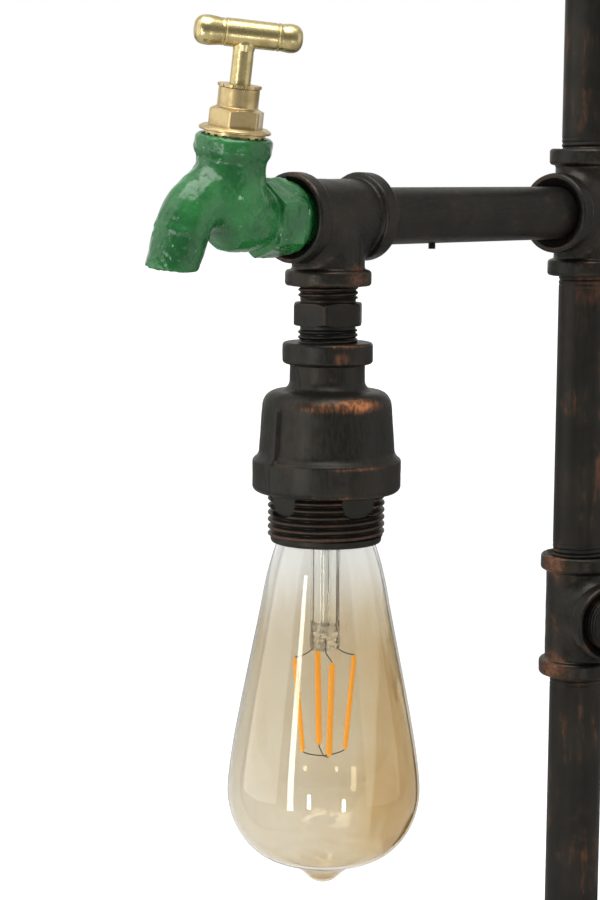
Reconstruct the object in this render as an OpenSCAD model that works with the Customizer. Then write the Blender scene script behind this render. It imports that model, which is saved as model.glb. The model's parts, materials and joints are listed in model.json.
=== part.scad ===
// Wall lamp made of pipe fittings: a column held off the wall by two flanges, an arm that
// swings on the column, and a head with a bulb hanging from it and a tap at its front.
// The origin is the centre of the upper flange's wall face. The wall is the plane y = 0,
// the lamp stands out along -Y, +X is to the right and +Z is up. Sizes are in millimetres.

/* [Wall frame] */
// Distance from the wall to the column's axis
wall_offset = 65; // [58:1:120]
// Drop from the upper wall fitting to the arm
arm_drop = 120; // [70:1:300]
// Drop from the arm to the side outlet
outlet_drop = 158.8; // [70:0.1:300]
// Drop from the side outlet to the lower wall fitting
foot_drop = 161.2; // [70:0.1:400]

/* [Pipe] */
// Outside diameter of the column pipe
pipe_od = 21.3; // [19:0.1:27]
// Wall of the column pipe
pipe_wall = 2.6; // [1.6:0.1:3.5]
// Length of pipe screwed into a fitting
socket_depth = 12; // [8:0.5:12]
// Radial clearance of a screwed or running fit
fit_gap = 0.05; // [0.02:0.01:0.1]
// Clearance left at the bottom of a socket
seat_gap = 0.5; // [0.2:0.1:1]

/* [Fittings] */
// Wall of a cast fitting around its socket
fitting_wall = 2.2; // [1.8:0.1:4]
// Height of the band above the fitting's body
band_rise = 2.3; // [1:0.1:4]
// Width of the band around each mouth
band_width = 6.3; // [4:0.1:9]
// Rounding of the band's edges
band_round = 1.2; // [0.4:0.1:1.8]
// Amount turned off the corners of hexagons
corner_off = 0.4; // [0.2:0.1:0.8]
// Half length of the arm tee along the column
arm_tee_run = 24.5; // [22:0.1:32]
// Half length of the outlet tee along the column
outlet_tee_run = 24.3; // [22:0.1:32]
// Reach of a column tee's branch from the column's axis
tee_branch = 22.7; // [22:0.1:32]
// Width of the bevel inside each mouth
mouth_sink = 3.2; // [0.5:0.1:3.5]
// Inside radius of an elbow's bend
elbow_inner = 2; // [1:0.1:5]
// Step from an elbow's mouths down to its bend
elbow_step = 0.4; // [0.2:0.1:1]
// Length of an elbow's mouths that reaches over its bend
elbow_lap = 1; // [0.8:0.1:2]

/* [Wall flanges] */
// Diameter of the flange
flange_d = 66; // [62:1:90]
// Thickness of the flange plate
flange_t = 5; // [3:0.5:8]
// Height of the flange with its hub
flange_h = 17; // [14:0.5:24]
// Radius between plate and hub
flange_fillet = 3; // [1:0.5:4]
// Bolt circle of the flange
bolt_circle = 48; // [47:0.5:54]
// Diameter of a bolt hole
bolt_hole_d = 6; // [4:0.5:7]
// Number of bolt holes
bolt_count = 4; // [3:1:6]

/* [Side outlet] */
// Turn of the outlet from the side towards the front
outlet_turn = 19; // [-90:1:90]
// Length of outlet pipe between the tee and its cap
outlet_show = 34; // [10:1:60]
// Length of the outlet cap
cap_length = 19; // [16:0.5:30]
// Thickness of the cap's closed end
cap_end = 3.5; // [2:0.5:6]

/* [Arm] */
// Distance from the column's axis to the lamp's axis
arm_reach = 149.7; // [120:0.1:300]
// Outside diameter of the arm tube
arm_od = 20; // [18:0.1:21]
// Wall of the arm tube
arm_wall = 1.5; // [1:0.1:2.5]
// Length of arm tube inside the head tee
arm_entry = 8; // [4:0.5:9]
// Clearance between the arm tube and the turning head tee
turn_gap = 0.3; // [0.2:0.05:0.6]
// Diameter of the arm's set screw
set_screw_d = 2.5; // [2:0.1:4]
// Distance from the lamp's axis to the set screw
set_screw_at = 55; // [40:1:70]
// Height of the set screw outside the tube
set_screw_proud = 2; // [0.5:0.1:4]

/* [Head] */
// Half length of the head tee along the arm
head_tee_run = 20; // [19:0.1:30]
// Reach of the head tee's branch below the arm's axis
head_branch = 23.3; // [22.5:0.1:34]
// Width of the band on the head tee's branch
head_branch_band = 5.5; // [4:0.1:9]
// Wall of the spigot inside the arm tube
spigot_wall = 2; // [1:0.1:4]
// Length of spigot past the set screw
spigot_past = 8; // [4:1:20]
// Length of spigot held in the head tee
spigot_hold = 8; // [5:0.5:8]
// Outside diameter of the hex nipple's threads
nipple_od = 20.5; // [17:0.1:21]
// Bore of the hex nipple
nipple_bore = 13; // [8:0.5:15]
// Bare thread above and below the hexagon
nipple_bare = 5.6; // [2:0.1:10]
// Height of the hexagon
nipple_hex_h = 8; // [5:0.1:12]
// Hexagon across its flats
nipple_hex_af = 22.5; // [21.5:0.1:28]
// Turn of the nipple about the lamp's axis
nipple_turn = 8; // [0:1:60]
// Length of nipple screwed into the tee and into the bell
nipple_in = 11.5; // [8:0.5:13]
// Width of the casting rib on the head tee
tee_rib_w = 1.6; // [0.8:0.1:3]
// Height of that rib above the metal around it
tee_rib_h = 0.8; // [0.4:0.1:1.5]
// Direction of the rib on the head tee
tee_rib_at = 11; // [0:1:30]

/* [Bell] */
// Diameter of the collar at the bell's top
collar_d = 31; // [28:0.1:36]
// Height of the collar
collar_h = 7.4; // [5:0.1:10]
// Rounding of the collar's edges
collar_round = 1.1; // [0.5:0.1:2]
// Diameter of the neck under the collar
neck_d = 25.8; // [25:0.1:28]
// Height of the neck
neck_h = 7.1; // [6:0.1:14]
// Radius of the hollow between neck and shoulder
neck_fillet = 2; // [1:0.1:2.5]
// Diameter of the bell just under its shoulder
shoulder_d = 43.7; // [43:0.1:46]
// Radius of the shoulder
shoulder_r = 5.3; // [2:0.1:6]
// Diameter of the bell just above its rim
skirt_d = 47; // [46.5:0.1:50]
// Height from the shoulder's top to the rim
skirt_h = 24; // [22:0.1:34]
// Diameter of the rim
rim_d = 51.1; // [49:0.1:56]
// Height of the rim
rim_h = 11; // [6:0.1:16]
// Rounding of the rim's edges
rim_round = 1.6; // [0.5:0.1:2]
// Width of the casting rib on the bell
bell_rib_w = 2.4; // [0.8:0.1:4]
// Height of that rib above the metal around it
bell_rib_h = 1.3; // [0.4:0.1:1.8]
// Direction of the rib on the bell
bell_rib_at = -95; // [-180:1:180]
// Thickness of metal over the bell's hollow
bell_crown = 5.5; // [3:0.1:7]
// Diameter of the wiring hollow in the bell
hollow_d = 36; // [35:0.1:38]

/* [Lampholder] */
// Outside diameter of the holder's threaded shell
holder_od = 40.4; // [38.5:0.1:41]
// Length of shell below the bell
holder_show = 17.5; // [14:0.1:24]
// Length of shell inside the bell
holder_depth = 14; // [10:0.1:16]
// Distance from the lamp's axis to the shell's flats
holder_flat = 18.7; // [18.4:0.1:20]
// Height of the shell's flats below the bell
holder_flat_h = 7.5; // [3:0.1:12]
// Direction of the shell's first flat
holder_flat_at = -101; // [-180:1:180]
// Rounding of the shell's lower edge
holder_round = 1.5; // [0.5:0.1:2]
// Inside diameter of the shell's mouth
mouth_d = 35; // [34.5:0.1:36]
// Height of the mouth below the core's ledge
mouth_h = 11.3; // [9:0.1:14]
// Thickness of the ledge that carries the core
ledge_t = 2; // [1:0.1:3]
// Width of the ledge under the core
ledge_w = 1.2; // [0.8:0.1:1.8]
// Wall of the porcelain core
core_wall = 2; // [1.5:0.1:2.1]
// Thickness of the core's floor
core_floor = 5; // [4:0.1:6]
// Wall of the screw shell
screw_shell_wall = 0.6; // [0.4:0.1:0.9]
// Radial clearance between the screw shell and the bulb's cap
cap_gap = 0.4; // [0.3:0.05:0.6]
// Clearance between the centre contact and the bulb
contact_gap = 0.2; // [0.1:0.05:0.5]
// Depth of the centre contact under the core's floor
contact_drop = 1.5; // [1:0.1:3]
// Thickness of the centre contact's strip
contact_t = 0.5; // [0.3:0.1:0.8]
// Width of the centre contact's strip
contact_w = 5; // [3:0.1:7]
// Length of the centre contact's strip
contact_l = 14; // [10:0.5:18]
// Diameter of a terminal screw's head
terminal_d = 5; // [4:0.1:6]
// Spacing of the terminal screws
terminal_pitch = 18; // [14:0.5:20]

/* [Bulb] */
// Largest diameter of the glass
bulb_d = 67.5; // [60:0.1:80]
// Diameter of the screw cap
cap_d = 26.4; // [26:0.1:26.6]
// Length of the cap's threaded sleeve
cap_sleeve = 19.5; // [18:0.1:21]
// Height of the cap's cone above the sleeve
cap_cone = 2.5; // [1.5:0.1:4]
// Height of the cap's insulator above the cone
cap_insulator_h = 2.5; // [1.5:0.1:4]
// Height of the contact button
button_h = 2.3; // [1:0.1:3]
// Diameter of the contact button
button_d = 9.5; // [8:0.1:11]
// Wall of the cap
cap_wall = 0.4; // [0.3:0.1:0.6]
// Length of glass neck cemented into the cap
glass_entry = 7; // [4:0.5:10]
// Thickness of the glass
glass_t = 0.8; // [0.6:0.1:1.2]
// Depth of the cap's rim inside the holder's mouth
cap_rim_in = 7.5; // [6:0.1:9]
// Drop from the cap's rim to the glass's shoulder
glass_shoulder_drop = 27; // [24:0.5:40]
// Swell of the glass just under the cap
glass_swell = 4; // [1:0.1:4.5]
// Diameter of the glass at its shoulder
glass_shoulder_d = 43.8; // [38:0.1:48]
// Drop from the cap's rim to the widest glass
glass_belly_drop = 95.7; // [85:0.1:120]
// Radius of the glass's round bottom
glass_bottom_r = 28.4; // [22:0.1:30]
// Angle of the round bottom before its sealed tip
glass_bottom_turn = 80; // [60:1:85]
// Radius of the sealed tip under the glass
tip_r = 9; // [4:0.1:10]
// Height of the sealed tip
tip_h = 5.2; // [2:0.1:6]
// Diameter of the glass stem
stem_d = 8.8; // [6:0.1:11]
// Drop from the cap's rim to the stem's pinched end
stem_drop = 46; // [36:0.5:60]
// Height of the stem's pinched end
pinch_h = 9; // [6:0.1:14]
// Width of the stem's pinched end
pinch_w = 10.6; // [8:0.1:13]
// Thickness of the stem's pinched end
pinch_t = 4.5; // [3:0.1:6]
// Height of the filaments
filament_h = 32.4; // [24:0.1:40]
// Thickness of a filament
filament_d = 1.8; // [1.2:0.1:2.4]
// Radius of the filaments' ring at the top
filament_top_r = 10.7; // [7:0.1:14]
// Radius of the filaments' ring at the bottom
filament_low_r = 7.6; // [4:0.1:12]
// Number of filaments
filament_count = 4; // [2:1:6]
// Turn of the filaments about the lamp's axis
filament_turn = -34; // [-90:1:90]
// Diameter of the wires inside the bulb
wire_d = 0.6; // [0.4:0.1:1]

/* [Tap body] */
// Distance from the lamp's axis to the tap's spindle
tap_reach = 49.8; // [46:0.1:60]
// Lean of the tap about the arm's axis
tap_lean = 8.5; // [-30:0.1:30]
// Outside diameter of the tap's inlet thread
tap_thread_od = 20.9; // [20:0.1:21]
// Bore of the tap's inlet
inlet_bore = 9; // [6:0.5:10]
// How far the inlet's bore runs past the spindle's axis
inlet_past = 2; // [1:0.1:3]
// Inlet hexagon across its flats
inlet_hex_af = 23.4; // [22.5:0.1:27]
// Length of the inlet hexagon
inlet_hex_l = 14.5; // [10:0.1:17]
// Diameter of the waist beside the hexagon
waist_d = 20; // [16:0.1:22]
// Diameter of the tap's round body
globe_d = 24; // [23:0.1:28]
// Height of the round body's centre over the inlet's axis
globe_up = 7; // [6:0.1:8]
// Diameter of the tap's belly
belly_d = 23.6; // [22:0.1:26]
// Height of the belly's centre over the inlet's axis
belly_up = 1.5; // [0:0.1:3]
// How far the belly's centre sits behind the spindle
belly_back = 5.5; // [2:0.1:7]
// How far the neck's foot sits inside the round body
neck_sunk = 0.3; // [0.2:0.1:0.6]
// Diameter of the body's neck
tap_neck_d = 22.6; // [21.5:0.1:24]
// Diameter of the body's rim
tap_rim_d = 24.8; // [24:0.1:28]
// Height of the body's rim
tap_rim_h = 5.2; // [3:0.1:8]
// Height of the rim's face over the inlet's axis
tap_top = 26.6; // [24:0.1:34]
// Height of the valve seat over the inlet's axis
seat_up = 8; // [7.5:0.1:9]
// Diameter of the valve seat's hole
seat_bore = 8; // [5:0.5:9]
// Diameter of the chamber above the seat
chamber_d = 17.6; // [16:0.1:18]
// Outside diameter of the spout
spout_d = 17.8; // [16:0.1:19]
// Outside diameter of the spout's mouth
spout_mouth_d = 17; // [15:0.1:18]
// Bore of the spout's bend
spout_bore = 11.6; // [9:0.1:12]
// Bore of the spout's straight end
mouth_bore = 12.6; // [12.4:0.1:13]
// How far the straight bore runs into the bend
mouth_lap = 1; // [0.5:0.1:2]
// Bend radius of the spout
spout_bend = 16; // [14:0.1:20]
// Angle turned by the spout's bend
spout_turn = 76; // [60:1:90]
// Angle of the bend that lies inside the body
spout_root_turn = 15; // [10:1:25]
// Distance from the spindle's axis to the start of the spout's bend
spout_out = 3.2; // [2:0.1:5]
// Height of the spout's start over the inlet's axis
spout_up = 9.2; // [8.5:0.1:11]
// Length of the straight end of the spout before its mouth is cut level
spout_end = 16.2; // [14:0.1:22]
// Drop from the inlet's axis to the spout's level mouth
mouth_drop = 15.6; // [12:0.1:18]

/* [Tap bonnet and handle] */
// Length of bonnet screwed into the body
bonnet_in = 8; // [5:0.1:9]
// Height of the toothed lock ring
lock_ring_h = 1.7; // [1:0.1:3]
// Diameter of the toothed lock ring
lock_ring_d = 20; // [19:0.1:22]
// Number of teeth on the lock ring
lock_teeth = 18; // [10:1:24]
// Diameter of the bonnet's flange
bonnet_flange_d = 23.4; // [21:0.1:25]
// Thickness of the bonnet's flange
bonnet_flange_t = 1.3; // [0.8:0.1:2]
// Bonnet hexagon across its flats
bonnet_hex_af = 16.2; // [15:0.1:19]
// Height of the bonnet's hexagon
bonnet_hex_h = 5.4; // [4:0.1:8]
// Turn of the bonnet about the spindle
bonnet_turn = 3; // [0:1:60]
// Diameter of the bonnet's barrel
barrel_d = 13.3; // [12.8:0.1:14]
// Height of the bonnet's barrel
barrel_h = 7.4; // [6:0.1:10]
// Diameter of the gland disc
gland_d = 14.2; // [13:0.1:16]
// Thickness of the gland disc
gland_t = 0.9; // [0.6:0.1:1.4]
// Number of notches in the gland disc
gland_notches = 12; // [6:1:20]
// Depth of the packing in the barrel
packing_h = 3.5; // [2:0.1:4]
// Diameter of the packing
packing_d = 10; // [9:0.1:11]
// Diameter of the spindle
spindle_d = 6.8; // [5:0.1:7]
// Diameter of the spindle's threaded foot
spindle_foot_d = 9.4; // [8:0.1:10]
// Rise of the spindle from shut to open
spindle_rise = 3.75; // [2:0.05:4]
// Radial clearance around the spindle
spindle_gap = 0.1; // [0.05:0.01:0.1]
// Height of spindle seen between the gland disc and the handle
spindle_show = 11.5; // [6:0.1:18]
// Diameter of the handle's crossbar
bar_d = 9; // [7:0.1:11]
// Length of the crossbar's middle
bar_middle = 17.1; // [12:0.1:24]
// Length of the crossbar's near end
bar_near = 9.6; // [7:0.1:14]
// Length of the crossbar's far end
bar_far = 8.2; // [7:0.1:14]
// Depth of the grooves in the crossbar
bar_groove = 0.35; // [0.1:0.05:0.8]
// Flare of the crossbar around the spindle
bar_flare = 0.8; // [0.4:0.1:1.5]
// Offset of the crossbar's middle from the spindle
bar_shift = 1.7; // [0:0.1:3]
// Turn of the handle about the spindle
handle_turn = 35; // [-90:1:90]
// Thickness of the jumper valve's plate
jumper_t = 2; // [1:0.1:3]
// Diameter of the jumper valve's plate
jumper_d = 12; // [10:0.1:14]
// Diameter of the jumper valve's stem
jumper_stem_d = 4; // [2.5:0.1:4.5]
// Length of the jumper valve's stem
jumper_stem = 8; // [5:0.1:10]
// Thickness of the rubber washer
washer_t = 2; // [1:0.1:3]

/* [Hidden] */
$fn = 72;
arc_steps = 8;
cut = 1;
steel = "#2b2320";
bronze = "#33261f";
worn = "#4a3024";
brass = "#c9a24a";
enamel = "#1f7a3f";

column_y = -wall_offset;
arm_z = -arm_drop;
outlet_z = arm_z - outlet_drop;
foot_z = outlet_z - foot_drop;
lamp_y = column_y - arm_reach;
pipe_id = pipe_od - 2 * pipe_wall;
pipe_bore = pipe_od + 2 * fit_gap;
bore_depth = socket_depth + seat_gap;
elbow_bend = pipe_bore / 2 + fitting_wall + elbow_inner;
elbow_reach = elbow_bend + socket_depth;

arm_id = arm_od - 2 * arm_wall;
arm_bore = arm_od + 2 * fit_gap;
arm_start = tee_branch - socket_depth;
arm_end = arm_reach - head_tee_run + arm_entry;
spigot_od = arm_id - 2 * fit_gap;
spigot_id = spigot_od - 2 * spigot_wall;
spigot_low = head_tee_run - arm_entry - seat_gap - spigot_hold;
spigot_high = set_screw_at + spigot_past;

nipple_fit = nipple_od + 2 * fit_gap;
hex_top = -head_branch - nipple_bare;
bell_top = hex_top - nipple_hex_h - nipple_bare;
bell_h = collar_h + neck_h + neck_fillet + skirt_h + rim_h;
bell_low = bell_top - bell_h;

holder_low = bell_low - holder_show;
holder_top = bell_low + holder_depth;
ledge_z = holder_low + mouth_h + ledge_t;
cap_rim = holder_low + cap_rim_in;
sleeve_top = cap_rim + cap_sleeve;
cone_top = sleeve_top + cap_cone;
insulator_top = cone_top + cap_insulator_h;
button_top = insulator_top + button_h;
contact_low = button_top + contact_gap;
floor_z = contact_low + contact_drop;
core_top = floor_z + core_floor;
shell_id = cap_d + 2 * cap_gap;
shell_od = shell_id + 2 * screw_shell_wall;
core_id = shell_od + 2 * fit_gap;
core_od = core_id + 2 * core_wall;
core_bore = core_od + 2 * fit_gap;

glass_top = cap_rim + glass_entry;
glass_neck_r = cap_d / 2 - cap_wall - fit_gap;
shoulder_z = cap_rim - glass_shoulder_drop;
belly_z = cap_rim - glass_belly_drop;
bottom_z = belly_z - glass_bottom_r;
stem_low = cap_rim - stem_drop;
wire_bend_z = stem_low - wire_d;
filament_top = stem_low - pinch_t / 2;
filament_low = filament_top - filament_h;

tap_face = tap_reach - head_tee_run;
neck_foot_d = globe_d - 2 * neck_sunk;
chamber_fit = chamber_d - 2 * fit_gap;
flange_low = tap_top + lock_ring_h;
flange_top = flange_low + bonnet_flange_t;
hex_high = flange_top + bonnet_hex_h;
barrel_top = hex_high + barrel_h;
gland_top = barrel_top + gland_t;
bar_z = gland_top + spindle_show + bar_d / 2;
spindle_bore = spindle_d + 2 * spindle_gap;
foot_bore = spindle_foot_d + 2 * spindle_gap;
washer_low = seat_up + spindle_gap;
jumper_low = washer_low + washer_t;
jumper_top = jumper_low + jumper_t;
spindle_low = jumper_top + spindle_gap;
foot_roof = barrel_top - packing_h - fitting_wall / 2;
spindle_step = foot_roof - spindle_rise - seat_gap;

// Shapes that repeat

function body_d(bore) = bore + 2 * fitting_wall;
function band_d(bore) = body_d(bore) + 2 * band_rise;
function across_corners(flats) = flats / cos(30);
function arc(c, r, a0, a1) =
    [for (i = [0:arc_steps]) c + r * [cos(a0 + (a1 - a0) * i / arc_steps),
                                      sin(a0 + (a1 - a0) * i / arc_steps)]];
function bezier(p, n) =
    [for (i = [0:n]) let (t = i / n, s = 1 - t)
        s * s * s * p[0] + 3 * s * s * t * p[1] + 3 * s * t * t * p[2] + t * t * t * p[3]];

// Places children drawn in the XY plane into the YZ plane, with their Z along +X
module in_side_plane() {
    rotate([90, 0, 90]) children();
}

// Turns children drawn along +Z to run along -Y
module along_front() {
    rotate([90, 0, 0]) children();
}

module at_column(z) {
    translate([0, column_y, z]) children();
}

module at_lamp() {
    translate([0, lamp_y, arm_z]) children();
}

module at_tap() {
    translate([0, lamp_y - tap_reach, arm_z]) rotate([0, tap_lean, 0]) children();
}

module tube(od, id, low, high) {
    difference() {
        translate([0, 0, low]) cylinder(d = od, h = high - low);
        translate([0, 0, low - cut]) cylinder(d = id, h = high - low + 2 * cut);
    }
}

module hexagon(flats, h) {
    cylinder(d = across_corners(flats), h = h, $fn = 6);
}

// Disc with rounded edges, from z = 0 to z = h
module rounded_disc(d, h, r) {
    rotate_extrude() {
        square([d / 2 - r, h]);
        translate([0, r]) square([d / 2, h - 2 * r]);
        for (y = [r, h - r]) translate([d / 2 - r, y]) circle(r);
    }
}

// Hexagon with its corners turned off
module nut(flats, h) {
    intersection() {
        hexagon(flats, h);
        rounded_disc(across_corners(flats) - 2 * corner_off, h, band_round);
    }
}

// Limb of a cast fitting along +Z, with the band around its mouth
module limb(reach, bore, band = band_width) {
    cylinder(d = body_d(bore), h = reach);
    translate([0, 0, reach - band]) rounded_disc(band_d(bore), band, band_round);
}

// Socket cut into a limb from its mouth, with a bevelled edge
module socket(reach, bore, depth) {
    translate([0, 0, reach - depth]) cylinder(d = bore, h = depth + cut);
    translate([0, 0, reach - mouth_sink - cut])
        cylinder(d1 = bore - 2 * cut, d2 = bore + 2 * (mouth_sink + cut), h = mouth_sink + 2 * cut);
}

// Column tee: its run lies along Z and its branch along -Y
module column_tee(run, branch_bore) {
    difference() {
        union() {
            limb(run, pipe_bore);
            mirror([0, 0, 1]) limb(run, pipe_bore);
            along_front() limb(tee_branch, pipe_bore);
        }
        translate([0, 0, -run]) cylinder(d = pipe_id, h = 2 * run);
        along_front() cylinder(d = pipe_id, h = tee_branch);
        socket(run, pipe_bore, bore_depth);
        mirror([0, 0, 1]) socket(run, pipe_bore, bore_depth);
        along_front() socket(tee_branch, branch_bore, bore_depth);
    }
}

// Quarter bend in the side plane, from the limb along -Z to the limb along +Y
module quarter_bend(d, bend) {
    translate([0, bend, -bend]) in_side_plane()
        rotate([0, 0, 90]) rotate_extrude(angle = 90) translate([bend, 0]) circle(d = d);
}

// Elbow with one mouth towards the wall and one mouth down
module elbow() {
    start = elbow_bend - elbow_lap;
    difference() {
        union() {
            quarter_bend(body_d(pipe_bore) - 2 * elbow_step, elbow_bend);
            for (a = [-90, 180]) rotate([a, 0, 0])
                translate([0, 0, start]) limb(elbow_reach - start, pipe_bore);
        }
        quarter_bend(pipe_id, elbow_bend);
        for (a = [-90, 180]) rotate([a, 0, 0]) socket(elbow_reach, pipe_bore, bore_depth);
    }
}

// Wall flange with its face at y = 0 and its hub towards -Y
module wall_flange() {
    hub_r = band_d(pipe_bore) / 2;
    along_front() difference() {
        union() {
            rounded_disc(flange_d, flange_t, band_round);
            rounded_disc(2 * hub_r, flange_h, band_round);
            rotate_extrude() difference() {
                translate([0, flange_t]) square([hub_r + flange_fillet, flange_fillet]);
                translate([hub_r + flange_fillet, flange_t + flange_fillet]) circle(flange_fillet);
            }
        }
        translate([0, 0, -cut]) cylinder(d = pipe_bore, h = flange_h + 2 * cut);
        for (i = [0:bolt_count - 1])
            rotate([0, 0, 45 + i * 360 / bolt_count])
                translate([bolt_circle / 2, 0, -cut]) cylinder(d = bolt_hole_d, h = flange_t + 2 * cut);
    }
}

// Short pipe from the flange to the elbow
module wall_nipple() {
    elbow_face = wall_offset - elbow_reach;
    along_front() tube(pipe_od, pipe_id, seat_gap, elbow_face + socket_depth);
}

// Rod between two points
module rod(p, q, d) {
    v = q - p;
    translate(p) rotate([0, acos(v[2] / norm(v)), atan2(v[1], v[0])]) cylinder(d = d, h = norm(v));
}

// Wall frame

module upper_flange() color(steel) wall_flange();

module lower_flange() color(steel) translate([0, 0, foot_z]) wall_flange();

module upper_wall_nipple() color(steel) wall_nipple();

module lower_wall_nipple() color(steel) translate([0, 0, foot_z]) wall_nipple();

module upper_elbow() color(bronze) at_column(0) elbow();

module lower_elbow() color(bronze) at_column(foot_z) mirror([0, 0, 1]) elbow();

module upper_column_pipe() color(steel)
    at_column(0) tube(pipe_od, pipe_id, arm_z + arm_tee_run - socket_depth, -elbow_reach + socket_depth);

module middle_column_pipe() color(steel)
    at_column(0) tube(pipe_od, pipe_id, outlet_z + outlet_tee_run - socket_depth,
                      arm_z - arm_tee_run + socket_depth);

module lower_column_pipe() color(steel)
    at_column(0) tube(pipe_od, pipe_id, foot_z + elbow_reach - socket_depth,
                      outlet_z - outlet_tee_run + socket_depth);

module outlet_tee() color(bronze)
    at_column(outlet_z) rotate([0, 0, 90 - outlet_turn]) column_tee(outlet_tee_run, pipe_bore);

module outlet_pipe() color(steel)
    at_column(outlet_z) rotate([0, 90, -outlet_turn])
        tube(pipe_od, pipe_id, tee_branch - socket_depth, tee_branch + outlet_show + socket_depth);

module outlet_cap() color(bronze)
    at_column(outlet_z) rotate([0, 90, -outlet_turn])
    translate([0, 0, tee_branch + outlet_show]) difference() {
        union() {
            rounded_disc(band_d(pipe_bore), band_width, band_round);
            rounded_disc(body_d(pipe_bore), cap_length, cap_end);
        }
        translate([0, 0, -cut]) cylinder(d = pipe_bore, h = cap_length - cap_end + cut);
    }

// Arm

module arm_tee() color(bronze) at_column(arm_z) column_tee(arm_tee_run, arm_bore);

module arm_tube() color(steel) at_column(arm_z) difference() {
    along_front() tube(arm_od, arm_id, arm_start, arm_end);
    translate([0, set_screw_at - arm_reach, -arm_od]) cylinder(d = set_screw_d + 2 * fit_gap, h = arm_od);
}

module arm_set_screw() color(worn) at_lamp()
    translate([0, set_screw_at, -arm_od / 2 - set_screw_proud])
        cylinder(d = set_screw_d, h = set_screw_proud + arm_wall - fit_gap);

// Head

module head_tee() color(bronze) at_lamp() {
    tap_bore = tap_thread_od + 2 * fit_gap;
    arm_mouth = arm_od + 2 * turn_gap;
    difference() {
        union() {
            along_front() limb(head_tee_run, pipe_bore);
            rotate([-90, 0, 0]) limb(head_tee_run, pipe_bore);
            mirror([0, 0, 1]) limb(head_branch, nipple_fit, head_branch_band);
            rotate([0, 0, tee_rib_at]) translate([0, -tee_rib_w / 2, head_branch_band / 2 - head_branch])
                cube([body_d(nipple_fit) / 2 + tee_rib_h, tee_rib_w, head_branch - head_branch_band]);
        }
        rotate([-90, 0, 0]) cylinder(d = spigot_od + 2 * fit_gap, h = head_tee_run);
        rotate([-90, 0, 0]) socket(head_tee_run, arm_mouth, arm_entry + seat_gap);
        along_front() socket(head_tee_run, tap_bore, bore_depth);
        along_front() cylinder(d = nipple_bore, h = head_tee_run);
        mirror([0, 0, 1]) cylinder(d = nipple_bore, h = head_branch);
        mirror([0, 0, 1]) socket(head_branch, nipple_fit, nipple_in + seat_gap);
    }
}

module arm_spigot() color(steel)
    at_lamp() rotate([-90, 0, 0]) tube(spigot_od, spigot_id, spigot_low, spigot_high);

module hex_nipple() color(bronze) at_lamp() difference() {
    union() {
        translate([0, 0, bell_top - nipple_in])
            cylinder(d = nipple_od, h = nipple_in - bell_top - head_branch + nipple_in);
        rotate([0, 0, nipple_turn]) translate([0, 0, hex_top - nipple_hex_h])
            nut(nipple_hex_af, nipple_hex_h);
    }
    translate([0, 0, bell_top - nipple_in - cut]) cylinder(d = nipple_bore, h = bell_h);
}

// Half outline of the bell, from its top face down
function bell_outline() = let (
    neck_z = -collar_h - neck_h,
    shoulder_z = neck_z - neck_fillet,
    rim_z = shoulder_z - skirt_h,
    r = collar_round,
    s = rim_round
) concat(
    [[0, 0]],
    arc([collar_d / 2 - r, -r], r, 90, 0),
    arc([collar_d / 2 - r, r - collar_h], r, 0, -90),
    [[neck_d / 2, -collar_h]],
    arc([neck_d / 2 + neck_fillet, neck_z], neck_fillet, 180, 270),
    arc([shoulder_d / 2 - shoulder_r, shoulder_z - shoulder_r], shoulder_r, 90, 0),
    [[skirt_d / 2, rim_z + s / 2]],
    arc([rim_d / 2 - s, rim_z - s], s, 90, 0),
    arc([rim_d / 2 - s, rim_z - rim_h + s], s, 0, -90),
    [[0, rim_z - rim_h]]
);

module bell_housing() color(bronze) at_lamp() translate([0, 0, bell_top]) {
    hollow_z = -collar_h - neck_h - neck_fillet - bell_crown;
    difference() {
        union() {
            rotate_extrude() polygon(bell_outline());
            rotate([90, 0, bell_rib_at]) translate([0, 0, -bell_rib_w / 2])
            linear_extrude(bell_rib_w) polygon([
                [hollow_d / 2, rim_h - bell_h + skirt_h - shoulder_r],
                [shoulder_d / 2 + bell_rib_h, rim_h - bell_h + skirt_h - shoulder_r],
                [skirt_d / 2 + bell_rib_h, rim_h - bell_h],
                [hollow_d / 2, rim_h - bell_h]
            ]);
        }
        mirror([0, 0, 1]) cylinder(d = nipple_bore, h = bell_h);
        translate([0, 0, -nipple_in - seat_gap]) cylinder(d = nipple_fit, h = nipple_in + seat_gap + cut);
        translate([0, 0, -bell_h]) cylinder(d = hollow_d, h = bell_h + hollow_z);
        translate([0, 0, -bell_h - cut])
            cylinder(d = holder_od + 2 * fit_gap, h = holder_depth + cut);
    }
}

module holder_shell() color(worn) at_lamp() difference() {
    translate([0, 0, holder_low]) rotate_extrude() {
        translate([0, holder_round]) square([holder_od / 2, holder_top - holder_low - holder_round]);
        square([holder_od / 2 - holder_round, holder_round]);
        translate([holder_od / 2 - holder_round, holder_round]) circle(holder_round);
    }
    translate([0, 0, ledge_z]) cylinder(d = core_bore, h = holder_top - ledge_z + cut);
    translate([0, 0, holder_low]) cylinder(d = core_od - 2 * ledge_w, h = holder_top - holder_low);
    translate([0, 0, holder_low - cut]) cylinder(d = mouth_d, h = mouth_h + cut);
    for (i = [0:3]) rotate([0, 0, holder_flat_at + 90 * i])
        translate([holder_flat, -holder_od / 2, bell_low - holder_flat_h])
            cube([holder_od, holder_od, holder_flat_h]);
}

module holder_core() color("#e8e4da") at_lamp() difference() {
    translate([0, 0, ledge_z]) cylinder(d = core_od, h = core_top - ledge_z);
    translate([0, 0, ledge_z - cut]) cylinder(d = core_id, h = floor_z - ledge_z + cut);
    for (x = [-1, 1])
        translate([x * terminal_pitch / 2, 0, floor_z + core_floor / 2])
            cylinder(d = terminal_d / 2 + 2 * fit_gap, h = core_floor);
}

module screw_shell() color(brass) at_lamp() tube(shell_od, shell_id, ledge_z, floor_z);

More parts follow.
